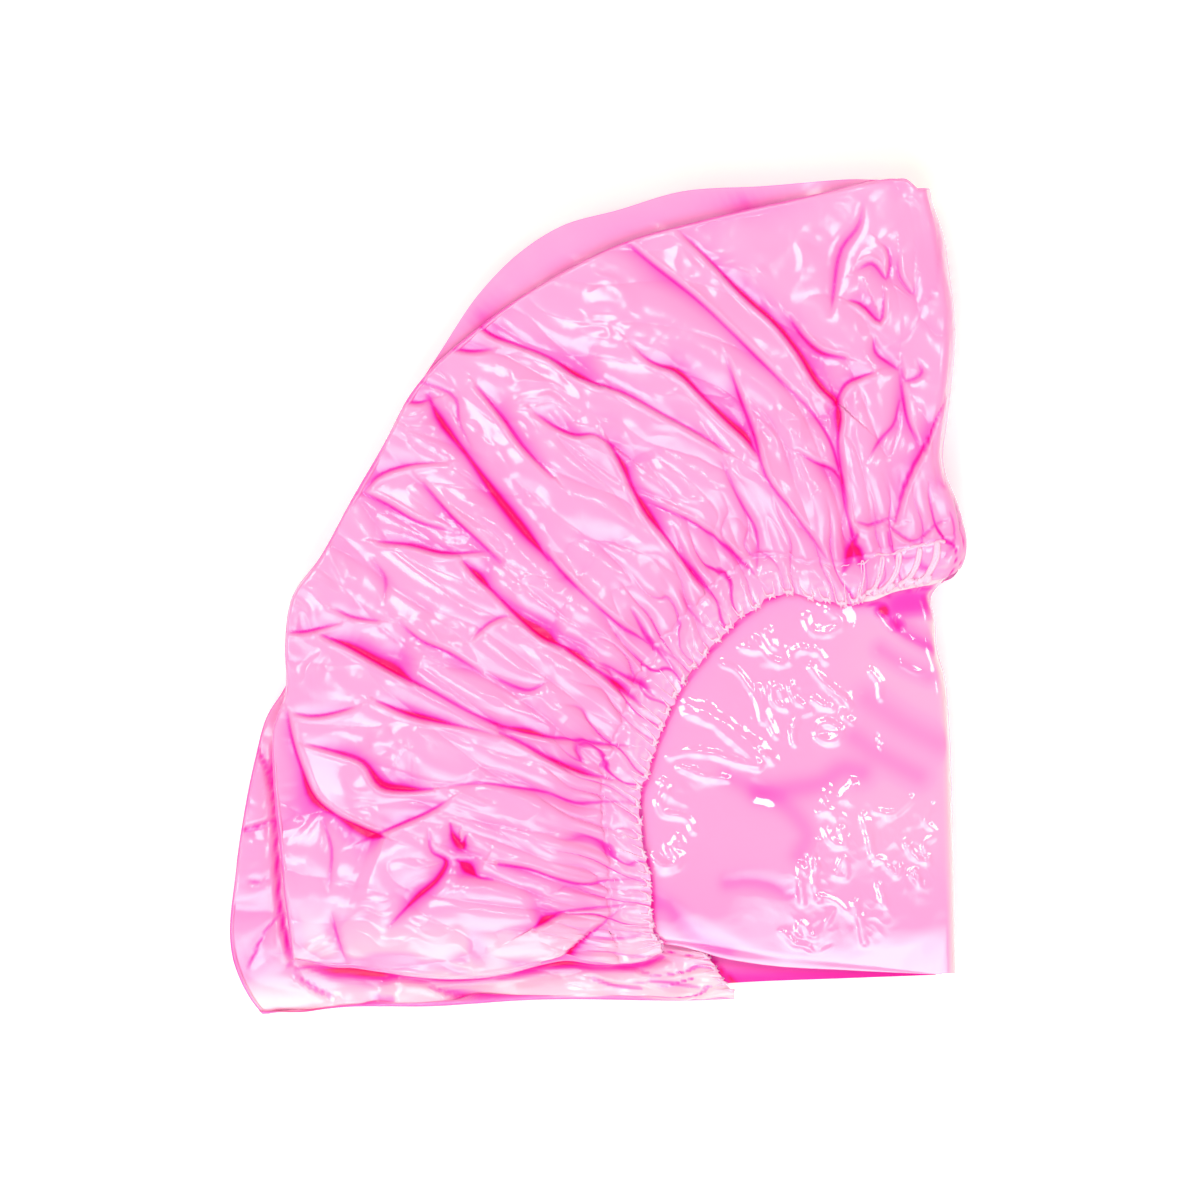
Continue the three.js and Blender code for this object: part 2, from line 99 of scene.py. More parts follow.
# The plain heights of the gathered film over its crown
PUFFS = {"top": 5.6, "upper_inner": 3.5, "lower_inner": 3.5, "bottom": 6.8}
FRONT_SAG = 2.1  # how far the crowns sink towards the hinge plane at the front fold
# How far each quarter sinks there outside the opening: at its crown, and at its brim's far side
BRIM_SAG = {
    "top": (1.7, 1.7), "upper_inner": (1.7, 0.2), "lower_inner": (-2.2, -2.2), "bottom": (-2.2, 0),
}
LOWER_SIDE_LIMIT = -0.5  # the lower half's side stays this far in, so that the cap opens clear of it
FOLD_LEVEL = 1.0  # where the side fold's strips begin, over and under the hinge plane
NEEDLE_SHARE = 0.88  # the needle line's place, as a share of the hem's width
# How far the top hem's film is drawn back off the elastic: degrees, millimetres
HEM_BACK = [(0, 1.2), (2, 1.3), (6, 1.3), (9, 1.4), (10.6, 0.5), (12.5, 0), (30, 0), (92, 0)]
HEM_DRAW_BACK = 4.5  # how far the hem draws back where it goes round the side fold
TOP_PEEP = -0.2  # how far the elastic shows past the top hem
HIDDEN_PEEP = 0.7  # and past the hems that the photograph hides
THREAD_RADIUS = 0.08  # where the thread is drawn tight
ELASTIC_WIDTH = 6.0
ELASTIC_BEND = 0.22  # radius of its rounded edges
EDGE_WIDTH = 1.0  # over which a brim turns down to its crown
STRIP_BULGE = 0.2  # how far the side fold's strips stand out between the halves
CROWN_START = 0.3  # the crown's films begin this far from the fold corner
CROWN_FRONT_REACH = 0.05  # their turn round the front fold is this tight
SQUARENESS = 0.6  # 1 would be an ellipse's way round a fold, less is a tighter one
OUTER_ROWS = (36, 260, 14)  # rows of points over a brim's hem, its body and its turned edge
INNER_ROWS = (16, 120, 10)
BRIM_COLUMNS = (700, 250)  # columns of the top brim and of the others, between the folds
BRIM_TURNS = (16, 12)  # columns round a brim's side fold and round its front fold
CROWN_COLUMNS = (360, 140)
CROWN_TURNS = (12, 4)
CROWN_ROWS = (250, 90)  # of the outer crowns and of the inner ones
ELASTIC_COLUMNS = 240
ELASTIC_TURNS = (12, 8)
ELASTIC_SIDES = 28
SEEDED_FOLDS = 30  # on each brim that the photograph hides

# Painted shade, as places on the film's colour ramp
PLAIN_SHADE = 0.14  # one layer in the open, between film on white elastic and folds
DRAWN_SOFT_SHADE = 0.36  # of a fold's soft side, for each millimetre of its depth
SEEDED_SOFT_SHADE = 0.07

# The two finishes of the vinyl film, with the size of its waves in millimetres
FILM_FINISHES = {
    "satin_vinyl_film": {
        "roughness": 0.34, "coat": 0.9, "coat_roughness": 0.13, "coat_index": 1.5, "wave": 7.0,
    },
    "gloss_vinyl_film": {
        "roughness": 0.36, "coat": 1.0, "coat_roughness": 0.03, "coat_index": 1.64, "wave": 9.0,
    },
}
# Painted glow: an emission by the film's painted shade, which stands in for light that comes through the
# film, and a pink emission on the yarns, which stands in for the light that the film throws on them
FILM_PAINTED_GLOW = [(0.24, "#000000"), (0.5, "#4A0638"), (0.84, "#860258"), (1, "#A8003E")]
YARN_PAINTED_GLOW = "#6A3A5C"

# What is added to a quarter's seed for each thing that is random on it
SEED_STEPS = {"relief": 0, "folds": 7, "elastic": 50, "looper": 60, "hem": 80, "crown": 100}

HINGE = [1000 * value for value in frame["joints"][0]["pos_m"]]
HALF_HEIGHT = HINGE[2]
CORNER_X = HINGE[0] - HINGE_REACH
CORNER_Y = 1000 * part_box("crown_film_top")[0][1]

# The pleats of the quarters that the photograph hides, as the solids have them: how many, their
# sideways lean as a share of a pleat, and each valley's places outward and its depths, as shares
PLEAT_COUNT = 12
PLEAT_LEAN = 0.3
PLEAT_MARGINS = (11, 3)  # how far the valleys end from the opening and from the outer edge
PLEAT_VALLEYS = [(0, 0.08), (0.2, 0.18), (0.42, 0.2), (0.68, 0.2), (1, 0.1)]

# Outer edge of each quarter, read about the corner that shows: degrees, share of the fold radius
TOP_EDGE = [
    (0, 0.975), (1, 0.988), (1.7, 0.999), (2.7, 1.001), (5.5, 1.0), (11.4, 0.995), (18.8, 1.0),
    (24.7, 1.01), (29.4, 1.011), (36.2, 1.01), (43.2, 1.0), (46.8, 0.981), (51.8, 0.965),
    (56.5, 0.955), (60.5, 0.958), (63.4, 0.941), (66.9, 0.914), (70.2, 0.91), (73.9, 0.891),
    (80.2, 0.859), (89, 0.834), (92, 0.83),
]
UPPER_INNER_EDGE = [
    (0, 0.98), (2, 0.995), (5.5, 1.004), (14, 1.021), (19.4, 1.043), (23.7, 1.05), (27.8, 1.063),
    (31, 1.06), (34.8, 1.045), (39.5, 1.016), (43.2, 0.997), (52, 0.955), (63, 0.925), (74, 0.875),
    (92, 0.822),
]
LOWER_INNER_EDGE = [
    (0, 0.97), (3, 0.98), (30, 0.99), (40, 0.985), (52, 0.955), (62, 0.93), (66.9, 0.918),
    (69.3, 0.925), (72.9, 0.922), (77.6, 0.9175), (81.6, 0.915), (89.8, 0.905), (91.9, 0.89),
    (94.5, 0.862),
]
BOTTOM_EDGE = [
    (0, 0.955), (3, 0.97), (30, 0.985), (40, 0.975), (52, 0.945), (67, 0.905), (88, 0.888),
    (95, 0.85),
]

# Inner edge of each brim, the same way, as a share of the fold radius
TOP_OPENING = [
    (0, 0.492), (2, 0.488), (6.3, 0.482), (10.4, 0.476), (13.2, 0.4805), (15.6, 0.485),
    (18.1, 0.495), (19.9, 0.504), (23.3, 0.526), (26.2, 0.529), (31.3, 0.523), (36.1, 0.514),
    (41.5, 0.504), (45.5, 0.494), (50.8, 0.479), (55.4, 0.466), (60.8, 0.454), (66.5, 0.429),
    (72.5, 0.402), (79.4, 0.388), (85.8, 0.373), (92, 0.368),
]
UPPER_INNER_OPENING = [(0, 0.49), (20, 0.5), (40, 0.485), (60, 0.435), (75, 0.39), (95, 0.36)]
LOWER_INNER_OPENING = [(0, 0.49), (20, 0.5), (40, 0.485), (60, 0.43), (75, 0.36), (95, 0.27)]
BOTTOM_OPENING = [(0, 0.485), (20, 0.5), (40, 0.485), (60, 0.435), (75, 0.385), (95, 0.345)]

# Where the right side's edge lies, as pixels down and across
SIDE_EDGE = [
    (150, 938), (190, 940), (250, 948), (330, 957), (410, 950), (470, 946), (500, 958), (530, 967),
    (560, 966), (576, 957), (586, 947), (592, 940.5), (598, 937), (606, 936.5), (625, 937),
    (648, 938), (677, 946), (731, 951), (811, 954), (977, 958),
]
# Where the front fold lies, as pixels across and down, for the upper half's crowns and brims
UPPER_CROWN_FRONT = [(957, 977), (850, 972), (760, 966), (720, 959), (690, 950), (640, 944)]
UPPER_BRIM_FRONT = [
    (700, 948), (661, 955), (646, 961.5), (627, 965), (598, 966), (563, 962.5), (544, 966),
    (503, 976.5), (455, 981), (423, 979.5), (379, 973.5), (350, 969.5), (324, 969.5), (285, 968),
]
LOWER_CROWN_FRONT = [(957, 977), (850, 981), (745, 985), (600, 996)]
LOWER_BRIM_FRONT = [(760, 1000), (715, 1003), (526, 1004), (434, 1010), (330, 1012), (266, 1022)]

# The top brim's folds, as pixels with a depth in millimetres. The soft slope lies to the right of
# the line as it is drawn if the first number is -1, to its left if it is 1, on both sides if 0.
TOP_FOLDS = [
    (1, [(474, 320, .6), (490, 333, 2.2), (513, 342, 1.6), (549, 356, 1.8), (577, 374, 3),
         (600, 384, 1.4)]),
    (1, [(590, 380, .6), (620, 390, 1.6), (660, 412, 1.5), (700, 434, 1.5), (728, 452, .8)]),
    (0, [(427, 394, 1), (437, 415, 3.2), (465, 453, 2.6), (495, 494, 3.6), (524, 530, 3.8),
         (549, 560, 1.6)]),
    (-1, [(545, 552, 1), (560, 570, 2.4), (587, 597, 1.4), (627, 630, 2.4), (655, 646, 2),
          (680, 661, 1)]),
    (1, [(476, 385, .8), (501, 415, 2.4), (521, 443, 2.2), (552, 476, .8)]),
    (0, [(419, 380, .8), (455, 398, 1.2), (458, 420, 1), (470, 445, .6)]),
    (-1, [(422, 483, .8), (450, 515, 2.4), (475, 538, 2), (500, 562, .8)]),
    (-1, [(361, 492, .6), (386, 504, 2), (414, 520, 1.6), (452, 531, .6)]),
    (1, [(378, 541, .8), (409, 544, 2.4), (440, 552, 2.6), (484, 551, .6)]),
    (1, [(362, 492, .5), (376, 476, 1.4), (404, 465, 1.6), (446, 461, .4)]),
    (1, [(404, 400, .4), (415, 402, 1.4), (429, 399, .8)]),
    (1, [(450, 347, .5), (470, 350, 1.6), (492, 348, .5)]),
    (1, [(534, 411, .6), (559, 428, 2), (575, 434, 2.2), (595, 434, 1.4), (613, 446, 2)]),
    (1, [(611, 445, 1.2), (622, 464, 3.4), (632, 486, 2.4), (644, 508, 3.4), (672, 544, 2),
         (700, 581, 3), (720, 604, 1)]),
    (-1, [(623, 239, .6), (653, 264, 1.8), (695, 297, 1.8), (728, 328, 1.6), (756, 356, 2),
          (786, 386, .8)]),
    (0, [(780, 380, .6), (813, 413, 1.4), (830, 440, 1.6), (842, 480, 1.6), (848, 511, .8)]),
    (1, [(679, 229, .5), (712, 261, 1.8), (742, 292, 2.8), (779, 326, 3), (798, 351, 3.2),
         (821, 387, 3.6), (836, 401, 3)]),
    (-1, [(788, 315, .6), (804, 337, 2.2), (822, 352, 2.6), (845, 358, 1)]),
    (-1, [(726, 358, .6), (740, 398, 2), (754, 435, 2.2), (766, 476, 1.8), (794, 514, 1.6),
          (829, 561, .8)]),
    (1, [(628, 340, .4), (650, 360, 1.4), (676, 370, 3), (700, 393, 2.6), (728, 421, 3.4),
         (748, 440, 3.2), (756, 452, 1)]),
    (-1, [(642, 500, .6), (686, 519, 1.6), (723, 544, 2.4), (745, 563, 3), (755, 574, 1.6)]),
    (0, [(722, 462, .5), (742, 505, 1.6), (757, 533, 2), (757, 572, .8)]),
    (-1, [(835, 396, 2), (840, 412, 4), (838, 441, 1.6), (843, 483, 2.4), (849, 519, 1.8),
          (855, 538, 3)]),
    (0, [(858, 536, 1.5), (852, 552, 4.4), (844, 572, 2.4)]),
    (0, [(851, 541, 1.5), (858, 552, 4.2), (866, 572, 2.2)]),
    (-1, [(900, 372, .5), (903, 396, 1.6), (908, 421, 1.6), (920, 446, .6)]),
    (-1, [(955, 405, 1), (933, 432, 2.2), (919, 457, 2.6), (904, 492, 2.6), (896, 522, 1.4)]),
    (1, [(886, 524, .6), (900, 534, 1.8), (916, 542, 2), (933, 528, 1.4), (948, 518, .6)]),
    (0, [(951, 512, .8), (955, 534, 1.8), (946, 556, 1.2)]),
    (0, [(889, 533, 1), (893, 550, 2), (905, 558, 1.6), (920, 556, .8)]),
    (1, [(857, 522, .6), (870, 526, 1.8), (889, 520, 1.2), (902, 521, .5)]),
    (-1, [(798, 452, .6), (815, 462, 1.6), (836, 472, 2), (842, 482, .8)]),
    (0, [(868, 460, .5), (880, 440, 1.4), (894, 424, 1.4), (900, 400, .8)]),
    (1, [(836, 402, 1.6), (846, 384, 2.4), (862, 376, 2), (874, 372, .8)]),
    (0, [(874, 336, .5), (876, 352, 1.8), (888, 362, 1.8), (900, 370, .6)]),
    (0, [(831, 313, .4), (834, 288, 1.4), (842, 247, 1.6), (860, 222, 1), (864, 204, .4)]),
    (1, [(846, 298, .4), (860, 302, 1.8), (880, 320, 1.6), (884, 290, .6)]),
    (-1, [(856, 270, .4), (872, 262, 1.6), (886, 277, 1.2), (888, 248, 1), (880, 240, .3)]),
    (-1, [(898, 250, .3), (900, 276, 1), (914, 292, .8), (918, 276, .3)]),
    (0, [(900, 356, .3), (906, 380, 1), (922, 372, 1.2), (918, 360, .4)]),
    (1, [(463, 561, 1), (478, 577, 3.6), (492, 590, 2), (520, 618, 3), (545, 638, 4.6),
         (560, 645, 2)]),
    (1, [(556, 642, 1), (580, 658, 3.8), (600, 672, 2.2), (622, 690, 4.2), (641, 705, 1.6)]),
    (1, [(602, 664, .8), (628, 678, 3), (642, 686, 4.2), (654, 696, 1.6)]),
    (1, [(318, 634, .6), (345, 645, 3.2), (372, 660, 4), (394, 672, 4.6), (411, 681, 2.2)]),
    (0, [(408, 679, 1.6), (430, 690, 1.8), (470, 712, 1.8), (503, 727, 1.6)]),
    (1, [(500, 726, 1.6), (530, 733, 3.6), (560, 739, 2), (592, 744, 2.8), (630, 746, .8)]),
    (-1, [(398, 622, .6), (420, 640, 1.8), (449, 653, 1.8), (480, 673, .6)]),
    (1, [(376, 701, .8), (405, 713, 2.8), (436, 721, 3), (470, 728, 1.2), (498, 736, .6)]),
    (1, [(500, 733, 1), (520, 742, 2), (548, 758, 3), (580, 772, 3.6), (612, 780, 1.2)]),
    (1, [(304, 744, .5), (336, 752, 2.4), (362, 762, 2.8), (380, 786, 4.2), (405, 790, 3.6),
         (432, 789, 1)]),
    (0, [(450, 786, .5), (480, 783, 1.2), (512, 787, 1.6), (548, 793, 1.8), (576, 803, 2.4),
         (612, 802, 1.4), (640, 803, .8)]),
    (-1, [(286, 712, .8), (290, 735, 2), (300, 768, 2.4), (314, 800, 4), (334, 816, 2.4),
          (358, 828, 4.4), (378, 836, 3.4), (384, 838, 1)]),
    (1, [(378, 834, 1.6), (400, 824, 2), (428, 812, 1.8), (448, 800, .6)]),
    (0, [(428, 830, .5), (432, 852, 1.6), (446, 862, 2.6), (440, 876, 3), (416, 898, 2.8),
         (390, 925, .8)]),
    (0, [(450, 824, 1), (454, 838, 3.4), (462, 846, 3.8), (466, 836, 1)]),
    (0, [(456, 860, 1), (467, 868, 4.2), (477, 877, 2), (492, 880, .8)]),
    (-1, [(499, 865, 1.6), (530, 870, 1.8), (560, 880, 2), (584, 885, 2.4), (612, 881, 1.4),
          (652, 878, .8)]),
    (1, [(535, 928, 2), (546, 922, 4.4), (562, 914, 2), (596, 909, 1.8), (634, 905, .8)]),
    (-1, [(546, 970, 3), (562, 960, 4), (582, 944, 3.4), (600, 928, 2), (618, 911, .8)]),
    (1, [(590, 937, 1), (612, 940, 1.6), (640, 936, 1)]),
    (0, [(330, 915, .4), (336, 938, 1.4), (344, 962, .5)]),
    (0, [(327, 890, .3), (330, 850, 1.2), (322, 822, .6)]),
    (1, [(286, 632, .4), (300, 632, 1.8), (326, 626, 1.2), (340, 622, .4)]),
    (1, [(288, 712, .3), (310, 716, 1.6), (340, 711, 1.4), (356, 706, .4)]),
    (1, [(330, 606, .4), (350, 616, 1.4), (376, 620, .8)]),
    (0, [(383, 600, .5), (384, 578, 1), (372, 560, .5)]),
    (1, [(470, 640, .4), (490, 622, 1.4), (508, 616, .8), (520, 624, .4)]),
    (0, [(486, 672, .4), (508, 684, 1.4), (530, 690, 1.8), (546, 682, .6)]),
    (0, [(658, 640, .5), (668, 660, 1.8), (680, 676, 1)]),
    (0, [(680, 590, .5), (690, 610, 1.4), (706, 628, 1)]),
    (0, [(632, 610, .8), (650, 640, 2.8), (672, 668, 1.2)]),
]
# Ridges in the glossy crown that catch the light: height and half width in millimetres, pixels
CROWN_RIDGES = [
    (0.14, 0.8, [(829, 609), (838, 616), (843, 622), (836, 628), (824, 634), (812, 630),
                 (806, 618)]),
    (0.12, 0.7, [(755, 640), (768, 656), (784, 664), (800, 650), (812, 648), (826, 660)]),
    (0.12, 0.6, [(766, 632), (774, 646), (770, 632)]),
    (0.16, 0.9, [(742, 646), (756, 650)]),
    (0.14, 0.7, [(812, 668), (824, 682), (838, 694), (846, 702)]),
    (0.14, 0.7, [(760, 690), (764, 706), (772, 728), (776, 736)]),
    (0.13, 0.6, [(772, 686), (776, 704), (786, 708), (780, 690)]),
    (0.13, 0.6, [(791, 686), (796, 700), (804, 706)]),
    (0.14, 0.7, [(815, 700), (822, 706), (832, 708)]),
    (0.14, 0.7, [(842, 696), (850, 706), (846, 716), (852, 722)]),
    (0.15, 0.7, [(817, 732), (822, 724), (834, 725), (842, 732), (838, 740), (828, 742),
                 (819, 738)]),
    (0.13, 0.7, [(794, 728), (800, 716), (812, 712)]),
    (0.14, 0.6, [(793, 730), (795, 744)]),
    (0.18, 1.0, [(686, 706), (704, 712), (722, 722), (738, 734), (754, 748), (772, 760)]),
    (0.15, 0.8, [(688, 714), (712, 724), (734, 742), (760, 764)]),
    (0.12, 0.6, [(722, 664), (736, 670), (746, 682), (758, 704), (762, 722)]),
    (0.12, 0.7, [(670, 757), (690, 752), (716, 756), (742, 764), (758, 768)]),
    (0.13, 0.7, [(681, 768), (700, 776), (728, 780)]),
    (0.13, 0.7, [(662, 782), (667, 790), (661, 804), (664, 814), (676, 816), (688, 820),
                 (694, 832)]),
    (0.16, 1.0, [(656, 862), (668, 868), (680, 862), (672, 850), (678, 842)]),
    (0.14, 0.8, [(822, 812), (836, 802), (848, 796), (854, 785)]),
    (0.14, 0.9, [(824, 806), (834, 816)]),
    (0.13, 0.7, [(864, 816), (870, 836), (876, 858), (884, 862)]),
    (0.13, 0.7, [(876, 812), (896, 814), (906, 806), (912, 800)]),
    (0.12, 0.6, [(934, 806), (928, 824), (938, 834), (926, 844)]),
    (0.13, 0.7, [(908, 846), (916, 858), (930, 862), (926, 850)]),
    (0.13, 0.6, [(890, 870), (898, 876), (902, 868)]),
    (0.13, 0.6, [(912, 874), (920, 884), (916, 872)]),
    (0.13, 0.7, [(801, 866), (801, 884), (803, 904)]),
    (0.13, 0.7, [(816, 866), (816, 890), (820, 902)]),
    (0.12, 0.7, [(826, 830), (832, 842), (846, 846), (842, 830)]),
    (0.12, 0.7, [(836, 876), (846, 878), (844, 860), (838, 872)]),
    (0.12, 0.6, [(818, 842), (814, 856), (818, 868)]),
    (0.11, 0.7, [(784, 934), (798, 946), (802, 924), (814, 938), (826, 926), (834, 912)]),
    (0.11, 0.7, [(822, 898), (838, 904), (846, 912)]),
    (0.12, 0.7, [(856, 904), (860, 918), (866, 944)]),
    (0.12, 0.7, [(880, 886), (886, 906)]),
    (0.12, 0.7, [(872, 672), (880, 682), (882, 698)]),
    (0.11, 0.7, [(902, 664), (918, 672), (930, 673)]),
    (-0.45, 3.5, [(760, 794), (790, 790), (824, 783), (846, 770), (862, 773)]),
    (-0.35, 3.5, [(856, 738), (876, 752), (900, 766), (919, 776)]),
    (-0.35, 3.0, [(728, 776), (756, 790), (779, 802), (796, 816), (808, 836), (800, 856)]),
    (-0.4, 2.6, [(728, 884), (750, 882), (772, 886), (791, 894)]),
    (-0.45, 3.0, [(651, 901), (668, 908), (683, 923), (706, 944), (728, 952)]),
    (-0.4, 2.6, [(895, 615), (914, 632), (934, 646)]),
    (-0.35, 2.4, [(882, 650), (904, 664), (930, 676)]),
    (-0.3, 4.0, [(870, 700), (900, 722), (940, 744)]),
    (-0.6, 1.3, [(884, 610), (896, 624), (905, 634), (918, 641), (936, 650)]),
    (0.12, 0.7, [(898, 618), (900, 628), (908, 638), (922, 642), (930, 646)]),
]
# Small facets that face the key light: pixels, radii along and across in pixels, and their
# direction in degrees
CROWN_FACETS = [
    (691, 712, 8, 4, -20), (832, 627, 8, 4, 40), (795, 647, 8, 4, -10), (812, 651, 6, 4, -60),
    (834, 733, 7, 5, -30), (765, 754, 8, 3.5, -40), (846, 788, 8, 4, 35), (832, 808, 10, 4.5, 10),
    (876, 861, 6, 5, 30), (667, 863, 8, 5, 30), (664, 790, 4, 7, 0), (925, 858, 7, 5, 20),
    (744, 646, 6, 3, -30), (804, 945, 12, 4, -40), (826, 950, 8, 4, 30), (880, 742, 3, 8, 15),
    (898, 868, 5, 4, 0), (918, 878, 5, 4, 0), (690, 768, 7, 3, -10), (806, 866, 3, 10, 0),
]
# Crinkled places in the crown, as pixels with a radius in pixels
CRINKLED_PLACES = [
    (830, 618, 22), (775, 650, 26), (812, 648, 22), (845, 700, 22), (790, 700, 34), (835, 728, 20),
    (722, 720, 36), (750, 752, 24), (672, 800, 20), (668, 856, 22), (838, 806, 24), (812, 880, 26),
    (842, 850, 24), (890, 850, 34), (925, 830, 22), (878, 816, 22), (810, 932, 26), (870, 920, 26),
    (920, 880, 20), (705, 765, 24),
]
# Shaded places on the crown by the hem's right end: pixels, radii across and down in pixels, shade
CROWN_SHADOWS = [(884, 609, 10, 9, 0.85), (914, 602, 38, 16, 0.7), (898, 625, 10, 9, 0.5)]
# The folds of the lower half's inner brim where it shows beyond the top one, in the way of the
# top brim's folds. The other brims' folds are seeded.
LOWER_FOLDS = [
    (0, [(284, 970, 1.6), (310, 974, 3), (328, 976, 4.8), (350, 977, 5.6), (378, 980.5, 5.4),
         (395, 981, 3.6), (423, 984.5, 3.2), (455, 986, 3.6), (503, 981, 3.4), (547, 970.5, 4.6),
         (563, 968, 5), (598, 971, 3.4), (646, 966, 3.6), (663, 959.5, 2.6)]),
    (1, [(272, 745, .6), (269, 774, 1.8), (272, 820, 1.6), (274, 866, 2.4), (277, 912, 2.4),
         (286, 955, 2.8), (290, 968, 1.6)]),
    (-1, [(236, 832, .6), (250, 830, 2.2), (269, 823, 1.4)]),
    (0, [(243, 978, .6), (252, 955, 2.4), (262, 935, 2), (274, 919, 1)]),
    (1, [(292, 978, .6), (304, 988, 2.4), (316, 996, 2.2), (328, 1001, .8)]),
    (0, [(356, 1012, .6), (372, 1006, 2.8), (390, 1004, 1)]),
    (1, [(428, 992, .8), (452, 1000, 3.2), (480, 1006, 4), (515, 1004, 1.6), (550, 1002, .6)]),
    (-1, [(590, 982, .6), (614, 990, 2.4), (640, 992, 1)]),
    (0, [(650, 984, 1), (672, 986, 2.4), (700, 990, 1)]),
    (1, [(252, 748, .6), (262, 764, 1.6), (268, 790, .8)]),
    (0, [(240, 880, .4), (254, 884, 1.2), (268, 880, .5)]),
]
# Places on the top brim, as pixels with a radius in pixels, where the film is drawn tight and has
# no small wrinkles
CALM_PLACES = [
    (660, 300, 20), (690, 325, 20), (745, 250, 26), (780, 290, 26), (800, 350, 18), (590, 395, 18),
    (640, 420, 18), (600, 505, 22), (650, 540, 20), (790, 500, 24), (820, 540, 20), (926, 470, 20),
    (926, 505, 22), (515, 470, 20), (560, 510, 22), (308, 860, 16), (310, 920, 16), (560, 850, 26),
    (600, 860, 20), (440, 945, 26), (500, 950, 22), (480, 745, 16), (920, 215, 26), (690, 480, 18),
]

LIGHT_DISTANCE = 1.5  # metres, as are the stage's other sizes
LIGHT_COLOUR = "#FFFCE0"
SKY_COLOUR = "#FFFFF0"
SKY_STRENGTH = 0.37
FLOOR_REACH = 3.0
CAMERA_DISTANCE = 1.6
CAMERA_REACH = 20
SENSOR_WIDTH = 36.0
# Lights: name, azimuth and lean off the vertical in degrees, width and height in metres, radiance,
# and how many smaller and smaller lights it is made of, so that it fades towards its edges
SOFTBOXES = [
    ("key_softbox", 125, 21, 0.38, 0.3, 13.0, 1),
    ("side_softbox", 20, 19, 0.18, 0.4, 11.0, 1),
    ("low_softbox", -95, 27, 1.2, 0.9, 7.4, 8),
    ("back_softbox", 205, 20, 0.22, 0.3, 11.0, 1),
    ("spot_softbox", 70, 10, 0.12, 0.1, 18.0, 1),
]


def hexed(code):
    """An sRGB hex colour as linear RGBA: each channel by the sRGB curve's power part."""
    channels = [int(code[i:i + 2], 16) / 255 for i in (1, 3, 5)]
    return tuple(((c + 0.055) / 1.055) ** 2.4 if c > 0.04045 else c / 12.92 for c in channels) + (1,)


def along_table(table, at):
    """The smooth curve through a table's points: a cubic in each step, whose slope at a point is
    that of the line from the point before to the point after. It is held past both ends."""
    places, values = np.array(sorted(table), float).T
    slopes = np.gradient(values, places)
    at = np.clip(at, places[0], places[-1])
    i = np.clip(np.searchsorted(places, at) - 1, 0, len(places) - 2)
    step = places[i + 1] - places[i]
    t = (at - places[i]) / step
    return ((1 + 2 * t) * (1 - t) ** 2 * values[i] + t * (1 - t) ** 2 * step * slopes[i]
            + t * t * (3 - 2 * t) * values[i + 1] - t * t * (1 - t) * step * slopes[i + 1])


def smoothstep(low, high, at):
    """0 below low, 1 above high, and 3t^2 - 2t^3 of the share t of the way between."""
    t = np.clip((at - low) / (high - low), 0, 1)
    return t * t * (3 - 2 * t)


def bell(at, middle, width):
    """1 at the middle, falling off to both sides: exp(-((at - middle) / width)^2)."""
    return np.exp(-((at - middle) / width) ** 2)


def pixel_to_corner(points):
    """Photograph pixels as millimetres in the corner frame."""
    points = np.array(points, float)
    return np.stack([(points[:, 0] - FLAT_CORNER[0]) * PIXEL,
                     (FLAT_CORNER[1] - points[:, 1]) * PIXEL], axis=1)


def spot(x, y):
    """One photograph pixel as a point in the corner frame."""
    return pixel_to_corner([(x, y)])[0]


def place_field(flat, places, power):
    """How much each point of the flat film belongs to one of some round places, 0 to 1: the
    largest exp(-(d / r)^power) of the distance d from a place and its radius r."""
    near = np.zeros(flat.shape[:-1])
    for x, y, radius in places:
        distance = np.linalg.norm(flat - spot(x, y), axis=-1)
        near = np.maximum(near, np.exp(-(distance / (radius * PIXEL)) ** power))
    return near


def polar_edge(table, fold_radius, angle):
    """Distance of an outline from the fold corner at each angle. The table's rows are turned into
    points about the corner that shows, then read again as angle and distance about the fold corner."""
    degrees, shares = np.array(table, float).T
    turn = np.radians(degrees)
    across = (PHOTO_CORNER[0] - FLAT_CORNER[0]) * PIXEL - fold_radius * shares * np.sin(turn)
    up = fold_radius * shares * np.cos(turn)
    rows = list(zip(np.arctan2(-across, up), np.hypot(across, up)))
    return along_table(rows, angle)


def edge_at(table, fold_radius, angle):
    """The same distance at one angle."""
    return polar_edge(table, fold_radius, np.array([angle]))[0]


@dataclass
class Quarter:
    """One of the stack's four layers: its place, its folds and its outlines."""

    name: str
    body: str
    half: int
    outer: bool
    fold_angle: float
    edge: list
    opening: list
    crown_front: list
    brim_front: list
    seed: int

    @property
    def upward(self):
        """1 where the brim lies over the crown, -1 where it lies under it."""
        return self.half * (1 if self.outer else -1)

    @property
    def top_height(self):
        """The room over the crown for the brim."""
        return OUTER_HEIGHT if self.outer else INNER_HEIGHT


def quarters():
    """The four quarters from the top down."""
    upper = (UPPER_CROWN_FRONT, UPPER_BRIM_FRONT)
    lower = (LOWER_CROWN_FRONT, LOWER_BRIM_FRONT)
    return [
        Quarter("top", "upper_half", 1, True, UPPER_FOLD_ANGLE, TOP_EDGE, TOP_OPENING, *upper, 11),
        Quarter("upper_inner", "upper_half", 1, False, UPPER_FOLD_ANGLE, UPPER_INNER_EDGE,
                UPPER_INNER_OPENING, *upper, 23),
        Quarter("lower_inner", "lower_half", -1, False, LOWER_FOLD_ANGLE, LOWER_INNER_EDGE,
                LOWER_INNER_OPENING, *lower, 37),
        Quarter("bottom", "lower_half", -1, True, LOWER_FOLD_ANGLE, BOTTOM_EDGE, BOTTOM_OPENING,
                *lower, 41),
    ]


def seeded(quarter, use):
    """The random numbers for one thing on a quarter, the same in each run."""
    return np.random.default_rng(quarter.seed + SEED_STEPS[use])


def stack_level(quarter, height):
    """Distance from the hinge plane of a height over the quarter's crown."""
    return INNER_HEIGHT + CLEARANCE + height if quarter.outer else INNER_HEIGHT - height


